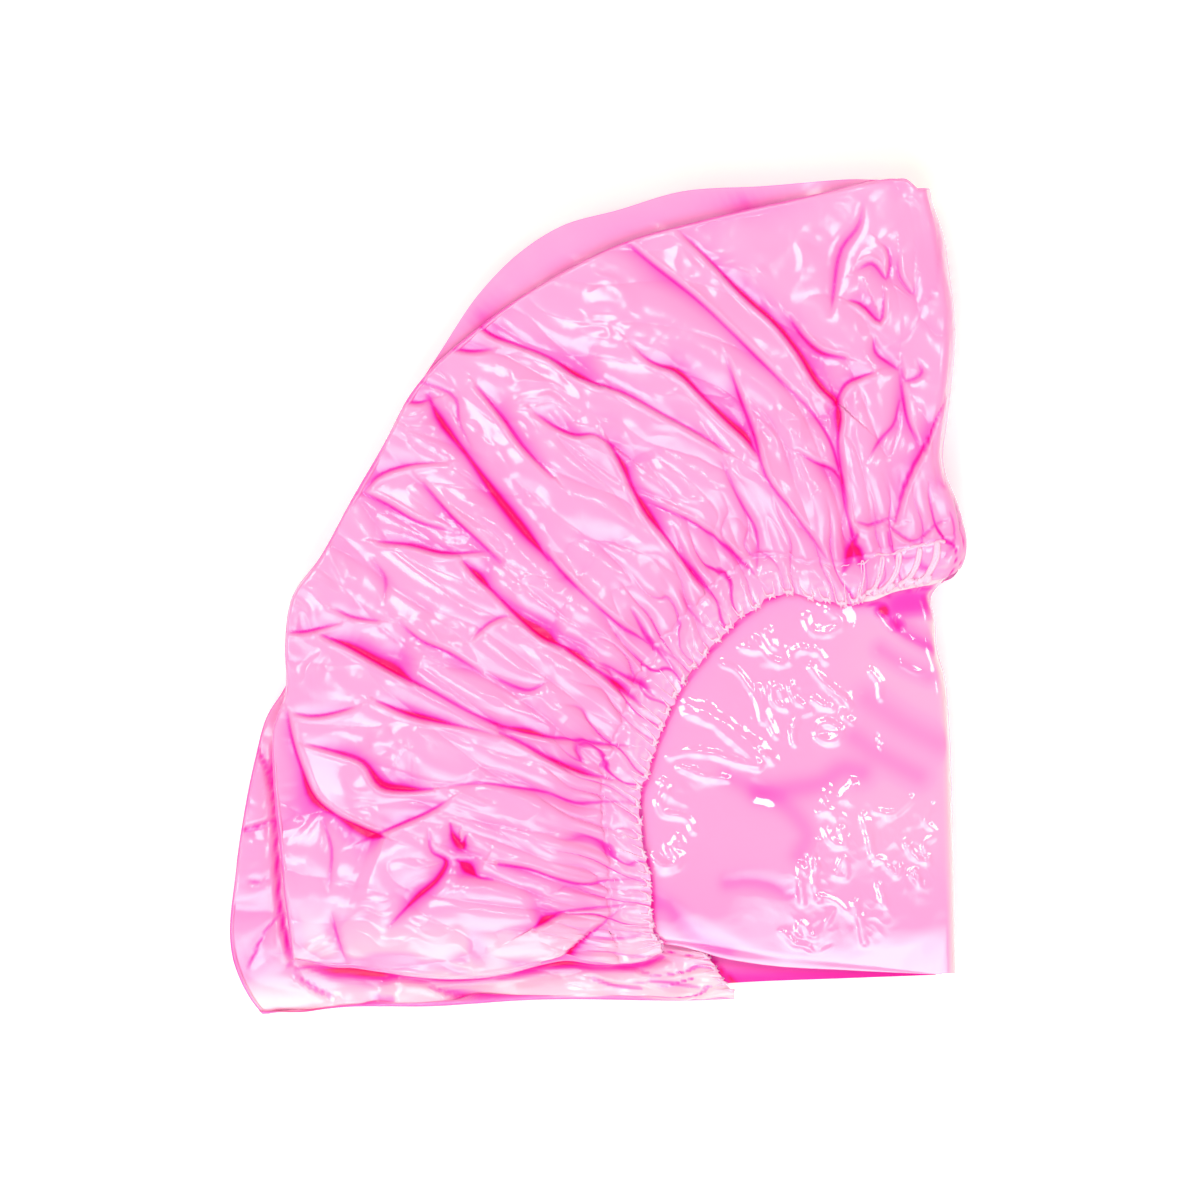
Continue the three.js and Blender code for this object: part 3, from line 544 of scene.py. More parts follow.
def side_shift(up):
    """How far the side fold lies right of its place on the solids, at each distance up the fold."""
    rows = [((FLAT_CORNER[1] - y) * PIXEL, (x - FLAT_CORNER[0]) * PIXEL) for y, x in SIDE_EDGE]
    reach = OUTER_CROWN_REACH + (OUTER_BRIM_REACH - OUTER_CROWN_REACH) * smoothstep(62, 68, up)
    return along_table(rows, up) - reach


def front_shift(quarter, layer, out):
    """How far the front fold lies outward of its straight line, at each distance out along it."""
    table = quarter.crown_front if layer == "crown" else quarter.brim_front
    points = pixel_to_corner(table)
    turn = quarter.fold_angle
    along = -points[:, 0] * math.sin(turn) + points[:, 1] * math.cos(turn)
    away = -points[:, 0] * math.cos(turn) - points[:, 1] * math.sin(turn)
    reach = 0 if layer == "crown" else FRONT_BRIM_REACH
    return along_table(list(zip(along, away)), out) - reach


def front_distance(quarter, radius, angle):
    """Distance of each point from the front fold's straight line."""
    return radius * np.sin(np.clip(quarter.fold_angle - angle, 0, None))


@dataclass
class Columns:
    """Places along a quarter's angle: the angle on the flat, and the share of the turn round the side fold
    and round the front fold."""

    angle: np.ndarray
    side: np.ndarray
    front: np.ndarray


def columns(quarter, flat, side_steps, front_steps):
    """Columns from the side fold's end to the front fold's end, evenly spaced in each part."""
    side = np.linspace(1, 0, side_steps + 1)[:-1]
    front = np.linspace(0, 1, front_steps + 1)[1:]
    angle = np.linspace(0, quarter.fold_angle, flat)
    zeros = np.zeros
    return Columns(
        np.concatenate([zeros(side_steps), angle, np.full(front_steps, quarter.fold_angle)]),
        np.concatenate([side, zeros(flat + front_steps)]),
        np.concatenate([zeros(side_steps + flat), front]),
    )


def bent_layer(quarter, layer, cols, radius, height, side_reach, front_reach):
    """A layer's points and, for the relief, the same points as if the film ran on flat past its
    folds. On the flat a point is the radius along its angle and its height's level. Round the side
    fold the layer follows a quarter of the squared ellipse x = a sin(t)^s, z = b cos(t)^s from its
    level towards the hinge plane, as far as FOLD_LEVEL. Round the front fold it follows one to the
    level between its half's crowns. It sinks to that by exp(-d / 9) of the distance d inside the
    opening, and by exp(-d / 8) outside it. Both folds then move to where the photograph has them,
    the side fold over 22 mm of the film and the front fold over 0.14 radians."""
    angle = cols.angle[:, None] + 0 * radius
    level = stack_level(quarter, height)
    x = -radius * np.sin(angle)
    y = radius * np.cos(angle)

    to_front = front_distance(quarter, radius, angle)
    ramp = 1 - smoothstep(40, 58, radius)
    level = level - FRONT_SAG * np.exp(-to_front / 9) * ramp
    at_crown, at_brim = BRIM_SAG[quarter.name]
    off_crown = np.clip(height / quarter.top_height, 0, 1)
    level = level - (at_crown + (at_brim - at_crown) * off_crown) * np.exp(-to_front / 8) * (1 - ramp)

    side_end = np.arccos(np.clip(FOLD_LEVEL / level, 0, 1) ** (1 / SQUARENESS))
    side = side_end * cols.side[:, None]
    side_run = side * (side_reach + level) / 2
    x = x + side_reach * np.sin(side) ** SQUARENESS
    bent = level * np.cos(side) ** SQUARENESS

    between = INNER_HEIGHT + CLEARANCE / 2 - FRONT_SAG * ramp
    front = math.pi / 2 * cols.front[:, None] + 0 * radius
    front_run = front * (front_reach + np.abs(level - between)) / 2
    away = (-math.cos(quarter.fold_angle), -math.sin(quarter.fold_angle))
    out = front_reach * np.sin(front) ** SQUARENESS
    x = x + away[0] * out
    y = y + away[1] * out
    bent = np.where(front > 0, between + (level - between) * np.cos(front) ** SQUARENESS, bent)

    near_side = 1 - smoothstep(0, 22, -x)
    shift = side_shift(radius * np.cos(angle))
    if quarter.half < 0:
        shift = np.minimum(shift, LOWER_SIDE_LIMIT)
    side_move = shift * near_side
    near_front = 1 - smoothstep(0, 0.14, quarter.fold_angle - angle)
    shift = front_shift(quarter, layer, radius) * near_front
    x = x + side_move + away[0] * shift
    y = y + away[1] * shift

    flat_x = -radius * np.sin(angle) + side_run + side_move + away[0] * (front_run + shift)
    flat_y = radius * np.cos(angle) + away[1] * (front_run + shift)
    points = np.stack([x, y, bent * quarter.half], axis=-1)
    return points, np.stack([flat_x, flat_y], axis=-1)


def grid_normals(points, quarter):
    """Unit normals of a grid of points, from the cross product of its two directions, facing away
    from the quarter's crown."""
    across = np.gradient(points, axis=0)
    along = np.gradient(points, axis=1)
    normal = np.cross(across, along)
    normal /= np.maximum(np.linalg.norm(normal, axis=-1, keepdims=True), 1e-9)
    middle = normal[normal.shape[0] // 2, normal.shape[1] // 2, 2]
    return normal * np.sign(middle * quarter.upward)


@dataclass
class Fold:
    """A fold line on the flat film: its points, the depth at each, and its soft slope's side."""

    line: np.ndarray
    depth: np.ndarray
    side: int


def drawn_fold(side, points, to_corner=True):
    """A fold from its side and rows of x, y and depth, with its line drawn smooth."""
    rows = np.array(points, float)
    line = pixel_to_corner(rows[:, :2]) if to_corner else rows[:, :2]
    run = np.concatenate([[0], np.cumsum(np.linalg.norm(np.diff(line, axis=0), axis=1))])
    at = np.interp(np.arange(0, len(rows) - 1 + 1e-9, 0.25), np.arange(len(rows)), run)
    smooth = np.stack([along_table(list(zip(run, line[:, i])), at) for i in (0, 1)], axis=1)
    return Fold(smooth, np.clip(along_table(list(zip(run, rows[:, 2])), at), 0, None), side)


def near_line(flat, fold, margin):
    """The points of the flat film within a margin of a fold's line: which they are, and for each
    its distance from the line, its side, and the fold's depth at the nearest place."""
    line = fold.line
    near = np.all((flat > line.min(0) - margin) & (flat < line.max(0) + margin), axis=-1)
    spots = flat[near]
    best = np.full(len(spots), np.inf)
    signed = np.zeros(len(spots))
    at_depth = np.zeros(len(spots))
    for i, step in enumerate(np.diff(line, axis=0)):
        offset = spots - line[i]
        t = np.clip(offset @ step / (step @ step), 0, 1)
        gap = offset - t[:, None] * step
        distance = np.hypot(gap[:, 0], gap[:, 1])
        left = step[0] * gap[:, 1] - step[1] * gap[:, 0]
        closer = distance < best
        best = np.where(closer, distance, best)
        signed = np.where(closer, np.sign(left), signed)
        at_depth = np.where(closer, fold.depth[i] + t * (fold.depth[i + 1] - fold.depth[i]), at_depth)
    return near, best, signed, at_depth


def fold_width(depth):
    """How wide a fold's soft side is for its depth."""
    return 1 + 0.65 * depth


def fold_field(flat, folds, soft_shade):
    """Depth of the folds at each point of the flat film, and the shade painted there for the folds. With
    the distance d from the line and the depth D there, the soft side goes down by 0.5 D exp(-d / w) with w
    = 1 + 0.65 D, or half that where both sides are soft, and the sharp side by 0.5 D exp(-(d / 0.4)^1.3),
    with a thin lip beside it. The painted shade has a core, which on the soft side of deep folds is a
    pocket, and on that side a wide, paler slope."""
    depth = np.zeros(flat.shape[:-1])
    deep = np.zeros(flat.shape[:-1])
    for fold in folds:
        near, best, signed, at_depth = near_line(flat, fold, 4.5 * fold_width(fold.depth.max()))
        soft = (signed * fold.side >= 0) if fold.side else np.ones(len(best), bool)
        slope = np.exp(-best / (fold_width(at_depth) * (1.0 if fold.side else 0.5)))
        wall = np.exp(-(best / 0.4) ** 1.3) - 0.16 * bell(best, 0.95, 0.4)
        depth[near] += 0.5 * at_depth * np.where(soft, slope, wall)
        pocket = 0.26 + 0.34 * np.clip(at_depth - 2.2, 0, None)
        core = np.exp(-(best / np.where(soft, pocket, 0.3)) ** 2.4)
        side = np.exp(-(best / (0.5 + 0.5 * at_depth)) ** 1.1)
        dark = (0.8 + 0.8 * at_depth) * core + np.where(soft, soft_shade * at_depth, 0) * side
        deep[near] = np.maximum(deep[near], dark * smoothstep(0.2, 1.2, at_depth))
    return depth, deep


def lattice_noise(u, v, rng):
    """Gradient noise, about -0.7 to 0.7: at each point of a unit lattice a random direction g, at
    any place the dot products of g and the way from the four nearest lattice points, mixed by
    6t^5 - 15t^4 + 10t^3 along both axes."""
    u, v = u - np.floor(u.min()), v - np.floor(v.min())
    i, j = np.floor(u).astype(int), np.floor(v).astype(int)
    angle = rng.uniform(0, math.tau, (i.max() + 2, j.max() + 2))
    gu, gv = np.cos(angle), np.sin(angle)
    a, b = u - i, v - j
    fade_a, fade_b = (t ** 3 * (t * (6 * t - 15) + 10) for t in (a, b))

    def rise(di, dj):
        """Dot product of a corner's direction and the way from that corner."""
        return gu[i + di, j + dj] * (a - di) + gv[i + di, j + dj] * (b - dj)

    near = rise(0, 0) + fade_a * (rise(1, 0) - rise(0, 0))
    far = rise(0, 1) + fade_a * (rise(1, 1) - rise(0, 1))
    return near + fade_b * (far - near)


def pillows(u, v, rng, sharpness=0.62):
    """Puffed cushions between sharp valleys, -1 in the valleys to about 0.5: the size of gradient
    noise to a power below 1, which is steepest where the noise crosses zero."""
    return 1.75 * (np.abs(lattice_noise(u, v, rng)) + 0.002) ** sharpness - 1


def gather_profile(turn, past_hem, rng):
    """The hem's gathers: bulges |sin(pi s)|^0.6 between sharp valleys, 0 to 1, and how dark each
    place lies in a valley. Their number s counts up with the angle, 3.4 mm apart at the hem, and
    noise widens some and narrows others. Each bulge has its own height, each valley its shade."""
    noise = lattice_noise(turn * 15, 0.1 * past_hem, rng)
    count = turn / 0.05 + 1.2 * noise + 0.05 * past_hem * lattice_noise(turn * 9, 0 * turn, rng)
    draws, first = 400, 100
    size = rng.uniform(0.5, 1.0, draws)
    shade = rng.uniform(0.15, 1.0, draws)
    wave = np.abs(np.sin(np.pi * count))
    bulge_number, valley_number = (
        np.clip(rounded(count).astype(int) + first, 0, draws - 1) for rounded in (np.floor, np.round)
    )
    return wave ** 0.6 * size[bulge_number], np.clip(1 - wave / 0.26, 0, 1) * shade[valley_number]


def blurred(values, cells):
    """A grid smoothed by three box averages along each axis, which come close to a Gaussian."""
    for axis, reach in enumerate(cells):
        width = 2 * reach + 1
        for _ in range(3):
            pads = [(reach + 1, reach) if a == axis else (0, 0) for a in (0, 1)]
            total = np.cumsum(np.pad(values, pads, mode="edge"), axis=axis)
            size = total.shape[axis]
            upper = np.take(total, np.arange(width, size), axis=axis)
            values = (upper - np.take(total, np.arange(size - width), axis=axis)) / width
    return values


@dataclass
class Layer:
    """A layer of a quarter as a grid of points from the side fold to the front fold, with the shade painted
    at each point for its folds, hollows and the shadows it lies in."""

    quarter: Quarter
    cols: Columns
    points: np.ndarray
    deep: np.ndarray


def brim_heights(quarter, rows, fold_radius, hem_width, cols):
    """Radius and plain height over the crown of a brim's rows at each angle. The hem lies level on
    the elastic. From there the film rises to its puffed height, and at the outer edge it turns down
    to the crown on a quarter ellipse. Where the hem goes round the side fold it draws back."""
    inner = polar_edge(quarter.opening, fold_radius, cols.angle)[:, None]
    if quarter.name == "top":
        inner = inner + along_table(HEM_BACK, np.degrees(cols.angle))[:, None]
    outer = polar_edge(quarter.edge, fold_radius, cols.angle)[:, None]
    hem_rows, body_rows, edge_rows = rows
    hem = np.linspace(0, 1, hem_rows + 1)[None, :-1]
    body = np.linspace(0, 1, body_rows + 1)[None, :-1]
    edge = np.linspace(0, math.pi / 2, edge_rows)[None, :]
    inner = inner + HEM_DRAW_BACK * cols.side[:, None] ** 1.5
    rng = seeded(quarter, "hem")
    for size, step in ((0.7, 0.045), (0.6, 0.016)):
        inner = inner + size * lattice_noise(cols.angle[:, None] / step, 0 * inner, rng)
    hem_end = inner + hem_width
    turn_start = outer - EDGE_WIDTH
    puff = PUFFS[quarter.name]
    edge_height = puff * 0.52
    radius = np.concatenate([
        inner + (hem_end - inner) * hem,
        hem_end + (turn_start - hem_end) * body,
        turn_start + EDGE_WIDTH * np.sin(edge) ** SQUARENESS,
    ], axis=1)
    rise = HEM_MIDDLE + (puff - HEM_MIDDLE) * smoothstep(-0.05, 0.24, body)
    rise = rise + (edge_height - puff) * smoothstep(0.55, 1, body)
    height = np.concatenate([
        0 * inner + HEM_MIDDLE + 0 * hem,
        0 * inner + rise,
        0 * inner + CROWN_MIDDLE + (edge_height - CROWN_MIDDLE) * np.cos(edge) ** SQUARENESS,
    ], axis=1)
    return radius, height


def brim_relief(quarter, flat, out, past_hem, folds, hidden):
    """How far the gathered film stands off its plain height, and its shade. The folds that are
    drawn lie over three sizes of seeded cushions, which run outward from the hem and lean to one
    side like the film's twist. The smallest lie in patches, the middle ones fade outward, and the
    largest reach the outer edge. The gathers fill the hem and fade over 15 mm past it."""
    rng = seeded(quarter, "relief")
    drawn = quarter.name == "top"
    x, y = flat[..., 0], flat[..., 1]
    turn = np.arctan2(-x, y)
    lean = 0.42 * bell(np.degrees(turn), 30, 18) * np.clip(out - 0.25, 0, 1) ** 1.2
    if not drawn:
        lean = lean * np.sin(3 * turn + quarter.seed) * 0.8
    flow = turn - lean + 0.02 * np.sin(5 * turn + quarter.seed)

    field, deep = fold_field(flat, folds, DRAWN_SOFT_SHADE if drawn else SEEDED_SOFT_SHADE)
    to_front = front_distance(quarter, np.hypot(x, y), turn)
    if quarter.name == "lower_inner":
        hidden_field, hidden_deep = fold_field(flat, hidden, DRAWN_SOFT_SHADE)
        clear = smoothstep(4, 14, to_front)
        field, deep = field + hidden_field * clear, np.maximum(deep, hidden_deep * clear)
    wide = pillows(flow / 0.155, out * 1.5, rng)
    middle = pillows(flow / 0.07, out * 2.4 + 2 * turn, rng)
    gathers, valley = gather_profile(turn, past_hem, rng)
    patches = smoothstep(0.0, 0.32, lattice_noise(x / 13, y / 13, rng))
    curl_x, curl_y = (lattice_noise(x / 6 + shift, y / 6, rng) for shift in (0, 9.5))
    fine = -pillows(flow * 26 + 0.9 * curl_x, out * 6.5 + 0.9 * curl_y, rng, 0.9)

    away = smoothstep(-7, 4, past_hem)
    wide_size = (0.6 if drawn else 0.9) * smoothstep(0.08, 0.45, out)
    middle_size = 0.7 * smoothstep(-0.06, 0.2, out) * (1 - 0.6 * smoothstep(0.3, 0.75, out))
    gather_size = 1.15 * (1 - smoothstep(0.5, 15, past_hem)) * (0.75 + 0.25 * smoothstep(-5, 0.5, past_hem))
    fine_size = 0.3 * patches * (0.25 + 0.75 * smoothstep(0.1, 0.4, out))
    if drawn:
        calm = place_field(flat, CALM_PLACES, 2)
        fine_size = fine_size * (1 - 0.9 * calm)
        middle_size = middle_size * (1 - 0.7 * calm)
        wide_size = wide_size * (1 - 0.5 * calm)
    soft = wide * wide_size + middle * middle_size + fine * fine_size
    pinch = 0.4 * bell(past_hem, -0.9, 1.1)
    field = 3.2 * (1 - np.exp(-field / 3.2))
    relief = soft * away + (gathers - 0.3) * gather_size - pinch - field * (0.25 + 0.75 * away)

    valleys = valley * (1 - smoothstep(1, 12, past_hem)) * (0.9 * bell(past_hem, -0.2, 2.2) + 4.4)
    over_elastic = 0.08 + 0.7 * lattice_noise(turn * 40, past_hem, rng)
    over_elastic = over_elastic * (1 - smoothstep(-7.5, 0.5, past_hem))
    plain = PLAIN_SHADE * (1 - np.clip(over_elastic, 0, 1))
    # Painted light: the lower inner brim is painted paler towards its front fold, and the top brim a little
    # paler there.
    if quarter.name == "lower_inner":
        plain = plain * smoothstep(0, 9, to_front)
    if drawn:
        plain = plain * (0.45 + 0.55 * smoothstep(2, 14, to_front))
    if quarter.name == "upper_inner":
        plain = plain + 0.05
    return relief, plain + 0.17 * np.maximum(deep * (0.45 + 0.55 * away), valleys)


def soft_limit(height, low, high):
    """Heights bent smoothly to stay between two limits, over the last 0.8 mm before each."""
    bend = 0.8
    for end, side in ((high, 1), (low, -1)):
        over = side * (height - end) + bend
        height = np.where(over > 0, end - side * bend * np.exp(-np.clip(over, 0, None) / bend), height)
    return height


def make_brim(quarter, settings, cols):
    """A brim's gathered film: its plain form with the relief laid on along its normals. Its shade
    is that of its folds, deeper in hollows, which lie under the relief's average over 3.2 mm and
    6.4 mm of film, and deeper still at both folded edges."""
    rows = OUTER_ROWS if quarter.outer else INNER_ROWS
    fold_radius = settings.fold_radius / MM
    hem_width = settings.hem_width / MM
    radius, height = brim_heights(quarter, rows, fold_radius, hem_width, cols)
    inner, outer = radius[:, :1], radius[:, -1:]
    past_hem = radius - inner - hem_width
    near_edge = smoothstep(0, 1, 1 - (outer - radius) / 9)
    if quarter.outer:
        reach = OUTER_BRIM_REACH + (OUTER_CROWN_REACH - OUTER_BRIM_REACH) * near_edge
    else:
        reach = INNER_BRIM_REACH + (INNER_CROWN_REACH - INNER_BRIM_REACH) * near_edge
    front = FRONT_BRIM_REACH * (1 - near_edge)
    plain, flat = bent_layer(quarter, "brim", cols, radius, height, reach, front)
    out = (radius - inner) / (outer - inner)
    relief, deep = brim_relief(quarter, flat, out, past_hem, *brim_folds(quarter, fold_radius))
    floor = 1.95 - 1.45 * smoothstep(-2, 2.5, past_hem)
    limit = quarter.top_height - (0.1 if quarter.outer else 0.15)
    relief = soft_limit(height + relief, floor, limit) - height
    held = (1 - smoothstep(0.55, 1, cols.side))[:, None] * (1 - smoothstep(0.3, 1, cols.front))[:, None]
    relief = relief * held * smoothstep(0, 0.6, outer - radius)
    points = plain + grid_normals(plain, quarter) * relief[..., None]

    across_step = 0.75 * fold_radius * quarter.fold_angle / (cols.angle.size - sum(BRIM_TURNS))
    along_step = 0.45 * fold_radius / rows[1]
    cells = (round(3.2 / across_step), round(3.2 / along_step))
    hollow, broad = (
        np.clip(blurred(relief, [count * size for count in cells]) - relief, 0, None) for size in (1, 2)
    )
    inside = 0.15 + 0.85 * smoothstep(3, 18, past_hem)
    # Painted light: near its front fold the lower inner brim loses the painted shade of its hollows.
    if quarter.name == "lower_inner":
        inside = inside * smoothstep(2, 12, front_distance(quarter, radius, cols.angle[:, None]))
    shade = PLAIN_SHADE + (deep - PLAIN_SHADE + (0.22 * hollow + 0.1 * broad) * inside) * held
    shade = shade + 0.3 * smoothstep(0.35, 0.8, cols.front)[:, None]
    shade = shade + 0.45 * smoothstep(0.35, 0.05, outer - radius)
    return Layer(quarter, cols, points, np.clip(shade, 0, 1))


def pleat_folds(quarter, fold_radius):
    """The valleys between the evenly spaced pleats of a quarter that the photograph hides, as its
    solid has them. Valley i wanders by sin(s + i^2 + step) - sin(s + i^2), s the quarter's number."""
    number = [other.name for other in quarters()].index(quarter.name)
    made = []
    for i in range(1, PLEAT_COUNT):
        rows = []
        for step, (place, depth) in enumerate(PLEAT_VALLEYS):
            wander = math.sin(number + i * i + step) - math.sin(number + i * i)
            turn = quarter.fold_angle * (i + PLEAT_LEAN * place * wander) / PLEAT_COUNT
            near = edge_at(quarter.opening, fold_radius, turn) + PLEAT_MARGINS[0]
            far = edge_at(quarter.edge, fold_radius, turn) - PLEAT_MARGINS[1]
            radius = near + (far - near) * place
            size = depth * quarter.top_height / 0.55
            rows.append((-radius * math.sin(turn), radius * math.cos(turn), size))
        made.append(drawn_fold(0, rows, to_corner=False))
    return made


def seeded_folds(quarter, fold_radius, count):
    """Long folds that run from near the hem most of the way to the outer edge, evenly spread and
    wandering, deepest in their middle, for the quarters whose brims the photograph hides."""
    rng = seeded(quarter, "folds")
    made = []
    for k in range(count):
        angle = quarter.fold_angle * (k + 0.5 + rng.uniform(-0.35, 0.35)) / count
        near = edge_at(quarter.opening, fold_radius, angle)
        far = edge_at(quarter.edge, fold_radius, angle)
        low, high = sorted(rng.uniform(0.1, 0.95, 2))
        if high - low < 0.25:
            low, high = max(0.1, low - 0.15), min(0.95, high + 0.15)
        steps = 7
        radius = near + (far - near) * np.linspace(low, high, steps)
        wander = angle + np.cumsum(rng.normal(0, 0.022, steps))
        wander = wander + rng.normal(0, 0.1) * np.linspace(0, 1, steps)
        depth = rng.uniform(0.8, 2.6) * np.sin(np.pi * np.linspace(0.08, 0.92, steps))
        depth = depth * rng.uniform(0.6, 1.3, steps)
        points = np.stack([-radius * np.sin(wander), radius * np.cos(wander), depth], axis=1)
        made.append(drawn_fold(int(rng.integers(-1, 2)), points, to_corner=False))
    return made


def to_row(points):
    """Corner frame millimetres to the row's metres: the level becomes a height over the floor."""
    shifted = points + np.array([CORNER_X, CORNER_Y, HALF_HEIGHT])
    return shifted * MM


def grid_faces(across, along, flip=False):
    """The quads of a grid of across by along points, turned over if flip is true."""
    index = np.arange(across * along).reshape(across, along)
    a, b, c, d = index[:-1, :-1], index[1:, :-1], index[1:, 1:], index[:-1, 1:]
    return np.stack([a, d, c, b] if flip else [a, b, c, d], axis=-1).reshape(-1, 4)


def tube_faces(rings, sides):
    """The quads of a tube of so many rings of points, each with so many sides, and its two ends."""
    index = np.arange(rings * sides).reshape(rings, sides)
    around = np.roll(index, -1, axis=1)
    quads = np.stack([index[:-1], around[:-1], around[1:], index[1:]], axis=-1).reshape(-1, 4)
    return quads, np.stack([index[0][::-1], index[-1]])


def mesh_object(name, points, faces, material, attributes=None, uv=None):
    """A smooth-shaded mesh object from a point array and one face array or a list of them, with
    point attributes and, from a place for each point, a UV map."""
    groups = [np.asarray(group, np.int32) for group in (faces if isinstance(faces, list) else [faces])]
    corners = np.concatenate([group.ravel() for group in groups])
    sizes = np.concatenate([np.full(len(group), group.shape[1], np.int32) for group in groups])
    mesh = bpy.data.meshes.new(name)
    mesh.vertices.add(len(points))
    mesh.vertices.foreach_set("co", np.asarray(points, np.float32).ravel())
    mesh.loops.add(len(corners))
    mesh.loops.foreach_set("vertex_index", corners)
    mesh.polygons.add(len(sizes))
    mesh.polygons.foreach_set("loop_start", np.concatenate([[0], np.cumsum(sizes)[:-1]]).astype(np.int32))
    mesh.update(calc_edges=True)
    mesh.validate()
    mesh.polygons.foreach_set("use_smooth", np.ones(len(mesh.polygons), bool))
    for key, values in (attributes or {}).items():
        layer = mesh.attributes.new(key, "FLOAT", "POINT")
        layer.data.foreach_set("value", np.asarray(values, np.float32).ravel())
    if uv is not None:
        layer = mesh.uv_layers.new(name="UVMap")
        layer.data.foreach_set("uv", np.asarray(uv, np.float32)[corners].ravel())
    mesh.materials.append(material)
    obj = bpy.data.objects.new(name, mesh)
    bpy.context.scene.collection.objects.link(obj)
    return obj


def faces_out(points, faces, upward):
    """Whether the grid's middle quad faces up or down as it should, in the row frame."""
    a, b, c = points[faces[len(faces) // 2][:3]]
    return np.sign(np.cross(b - a, c - a)[2]) == upward


def film_object(name, points, deep, kind, upward, normals=None):
    """A film piece from a grid of points, with its faces turned outward."""
    row_points = to_row(points).reshape(-1, 3)
    faces = grid_faces(*points.shape[:2])
    if not faces_out(row_points, faces, upward):
        faces = grid_faces(*points.shape[:2], flip=True)
    obj = mesh_object(name, row_points, faces, material_for(kind), {"painted_shade": deep})
    if normals is not None:
        obj.data.normals_split_custom_set_from_vertices(normals.reshape(-1, 3).tolist())
    return obj


def add_node(tree, kind, inputs=None, **settings):
    """Adds a node, sets its properties, and fills its sockets with values or links."""
    node = tree.nodes.new(kind)
    for key, value in settings.items():
        setattr(node, key, value)
    for key, value in (inputs or {}).items():
        socket = node.inputs[key]
        if isinstance(value, bpy.types.NodeSocket):
            tree.links.new(value, socket)
        else:
            socket.default_value = value
    return node


def new_material(name):
    """An empty material and its node tree."""
    material = bpy.data.materials.new(name)
    material.use_nodes = True
    tree = material.node_tree
    tree.nodes.clear()
    return material, tree


def set_ramp(node, stops):
    """Gives a colour ramp its stops, as place and sRGB hex."""
    ramp = node.color_ramp
    while len(ramp.elements) < len(stops):
        ramp.elements.new(0.5)
    for element, (place, code) in zip(ramp.elements, stops):
        element.position = place
        element.color = hexed(code)


def shade_with(tree, inputs):
    """Ends a material in a Principled shader with these sockets."""
    shader = add_node(tree, "ShaderNodeBsdfPrincipled", inputs)
    add_node(tree, "ShaderNodeOutputMaterial", {"Surface": shader.outputs["BSDF"]})


def vinyl_film(name, settings):
    """Calendered PVC film. Its pale pink turns to hot pink by painted shade, a ramp by the shade painted on
    each point, which stands in for light that has gone through more than one layer, or has bounced in a
    fold, and lost its green and then its blue. Deep folds get a painted glow, an emission that stands in
    for light coming through the film from below. Its gloss is a coat over gentle waves of the film, and
    little of it is left in closed pockets, which no light reaches from above."""
    finish = FILM_FINISHES[name]
    material, tree = new_material(name)
    deep = add_node(tree, "ShaderNodeAttribute", attribute_name="painted_shade").outputs["Fac"]
    ramp = add_node(tree, "ShaderNodeValToRGB", {"Fac": deep})
    set_ramp(ramp, [
        (0, settings.elastic_backed_and_lit_colour), (PLAIN_SHADE, settings.film_pale), (0.4, settings.fold_start_shade_colour),
        (0.64, settings.fold_shade_colour), (0.84, settings.fold_bottom_shade_colour), (1, settings.pocket_shade_colour),
    ])
    glow = add_node(tree, "ShaderNodeValToRGB", {"Fac": deep})
    set_ramp(glow, FILM_PAINTED_GLOW)
    place = add_node(tree, "ShaderNodeTexCoord")
    waves = add_node(tree, "ShaderNodeTexNoise", {
        "Vector": place.outputs["Object"], "Scale": 1 / (finish["wave"] * MM), "Detail": 2.0,
        "Distortion": 0.6,
    })
    bump = add_node(tree, "ShaderNodeBump", {
        "Height": waves.outputs["Fac"], "Strength": 0.3, "Distance": 0.4 * MM,
    })
    open_film = add_node(tree, "ShaderNodeMapRange", {
        "Value": deep, "From Min": 0.35, "From Max": 0.7,
        "To Min": finish["coat"], "To Max": 0.12 * finish["coat"],
    })
    shade_with(tree, {
        "Base Color": ramp.outputs["Color"], "Roughness": finish["roughness"], "IOR": 1.53,
        "Specular IOR Level": 0.12, "Emission Color": glow.outputs["Color"], "Emission Strength": 1.0,
        "Coat Weight": open_film.outputs["Result"], "Coat Roughness": finish["coat_roughness"],
        "Coat IOR": finish["coat_index"],
        "Normal": bump.outputs["Normal"], "Coat Normal": bump.outputs["Normal"],
    })
    return material


def ribbed_yarn(name, colour, roughness, direction, depth, strength):
    """A matt yarn with ribs along or across its UV map, and a painted pink glow, an emission that stands in
    for light from the film.
    """
    material, tree = new_material(name)
    place = add_node(tree, "ShaderNodeTexCoord")
    ribs = add_node(tree, "ShaderNodeTexWave", {"Vector": place.outputs["UV"], "Scale": 1.0},
                    wave_type="BANDS", bands_direction=direction)
    bump = add_node(tree, "ShaderNodeBump", {
        "Height": ribs.outputs["Fac"], "Strength": strength, "Distance": depth * MM,
    })
    shade_with(tree, {
        "Base Color": hexed(colour), "Roughness": roughness, "Normal": bump.outputs["Normal"],
        "Emission Color": hexed(YARN_PAINTED_GLOW), "Emission Strength": 1.0,
    })
    return material


def knitted_elastic(name, settings):
    """Knitted elastic braid: matt polyester over rubber cores, with ribs along its length."""
    return ribbed_yarn(name, settings.elastic_colour, 0.85, "Y", 0.15, 0.5)


def spun_thread(name, settings):
    """Spun polyester sewing thread: matt, with its plies twisted round each other."""
    return ribbed_yarn(name, settings.thread_colour, 0.7, "DIAGONAL", 0.06, 0.6)


def crown_shadows(x, y):
    """Shade of the places by the hem's right end: exp(-d^3) of the distance d in radii."""
    shade = 0 * x
    for spot_x, spot_y, wide, tall, size in CROWN_SHADOWS:
        centre = spot(spot_x, spot_y)
        distance = np.hypot((x - centre[0]) / wide, (y - centre[1]) / tall) / PIXEL
        shade = np.maximum(shade, size * np.exp(-distance ** 3))
    return shade


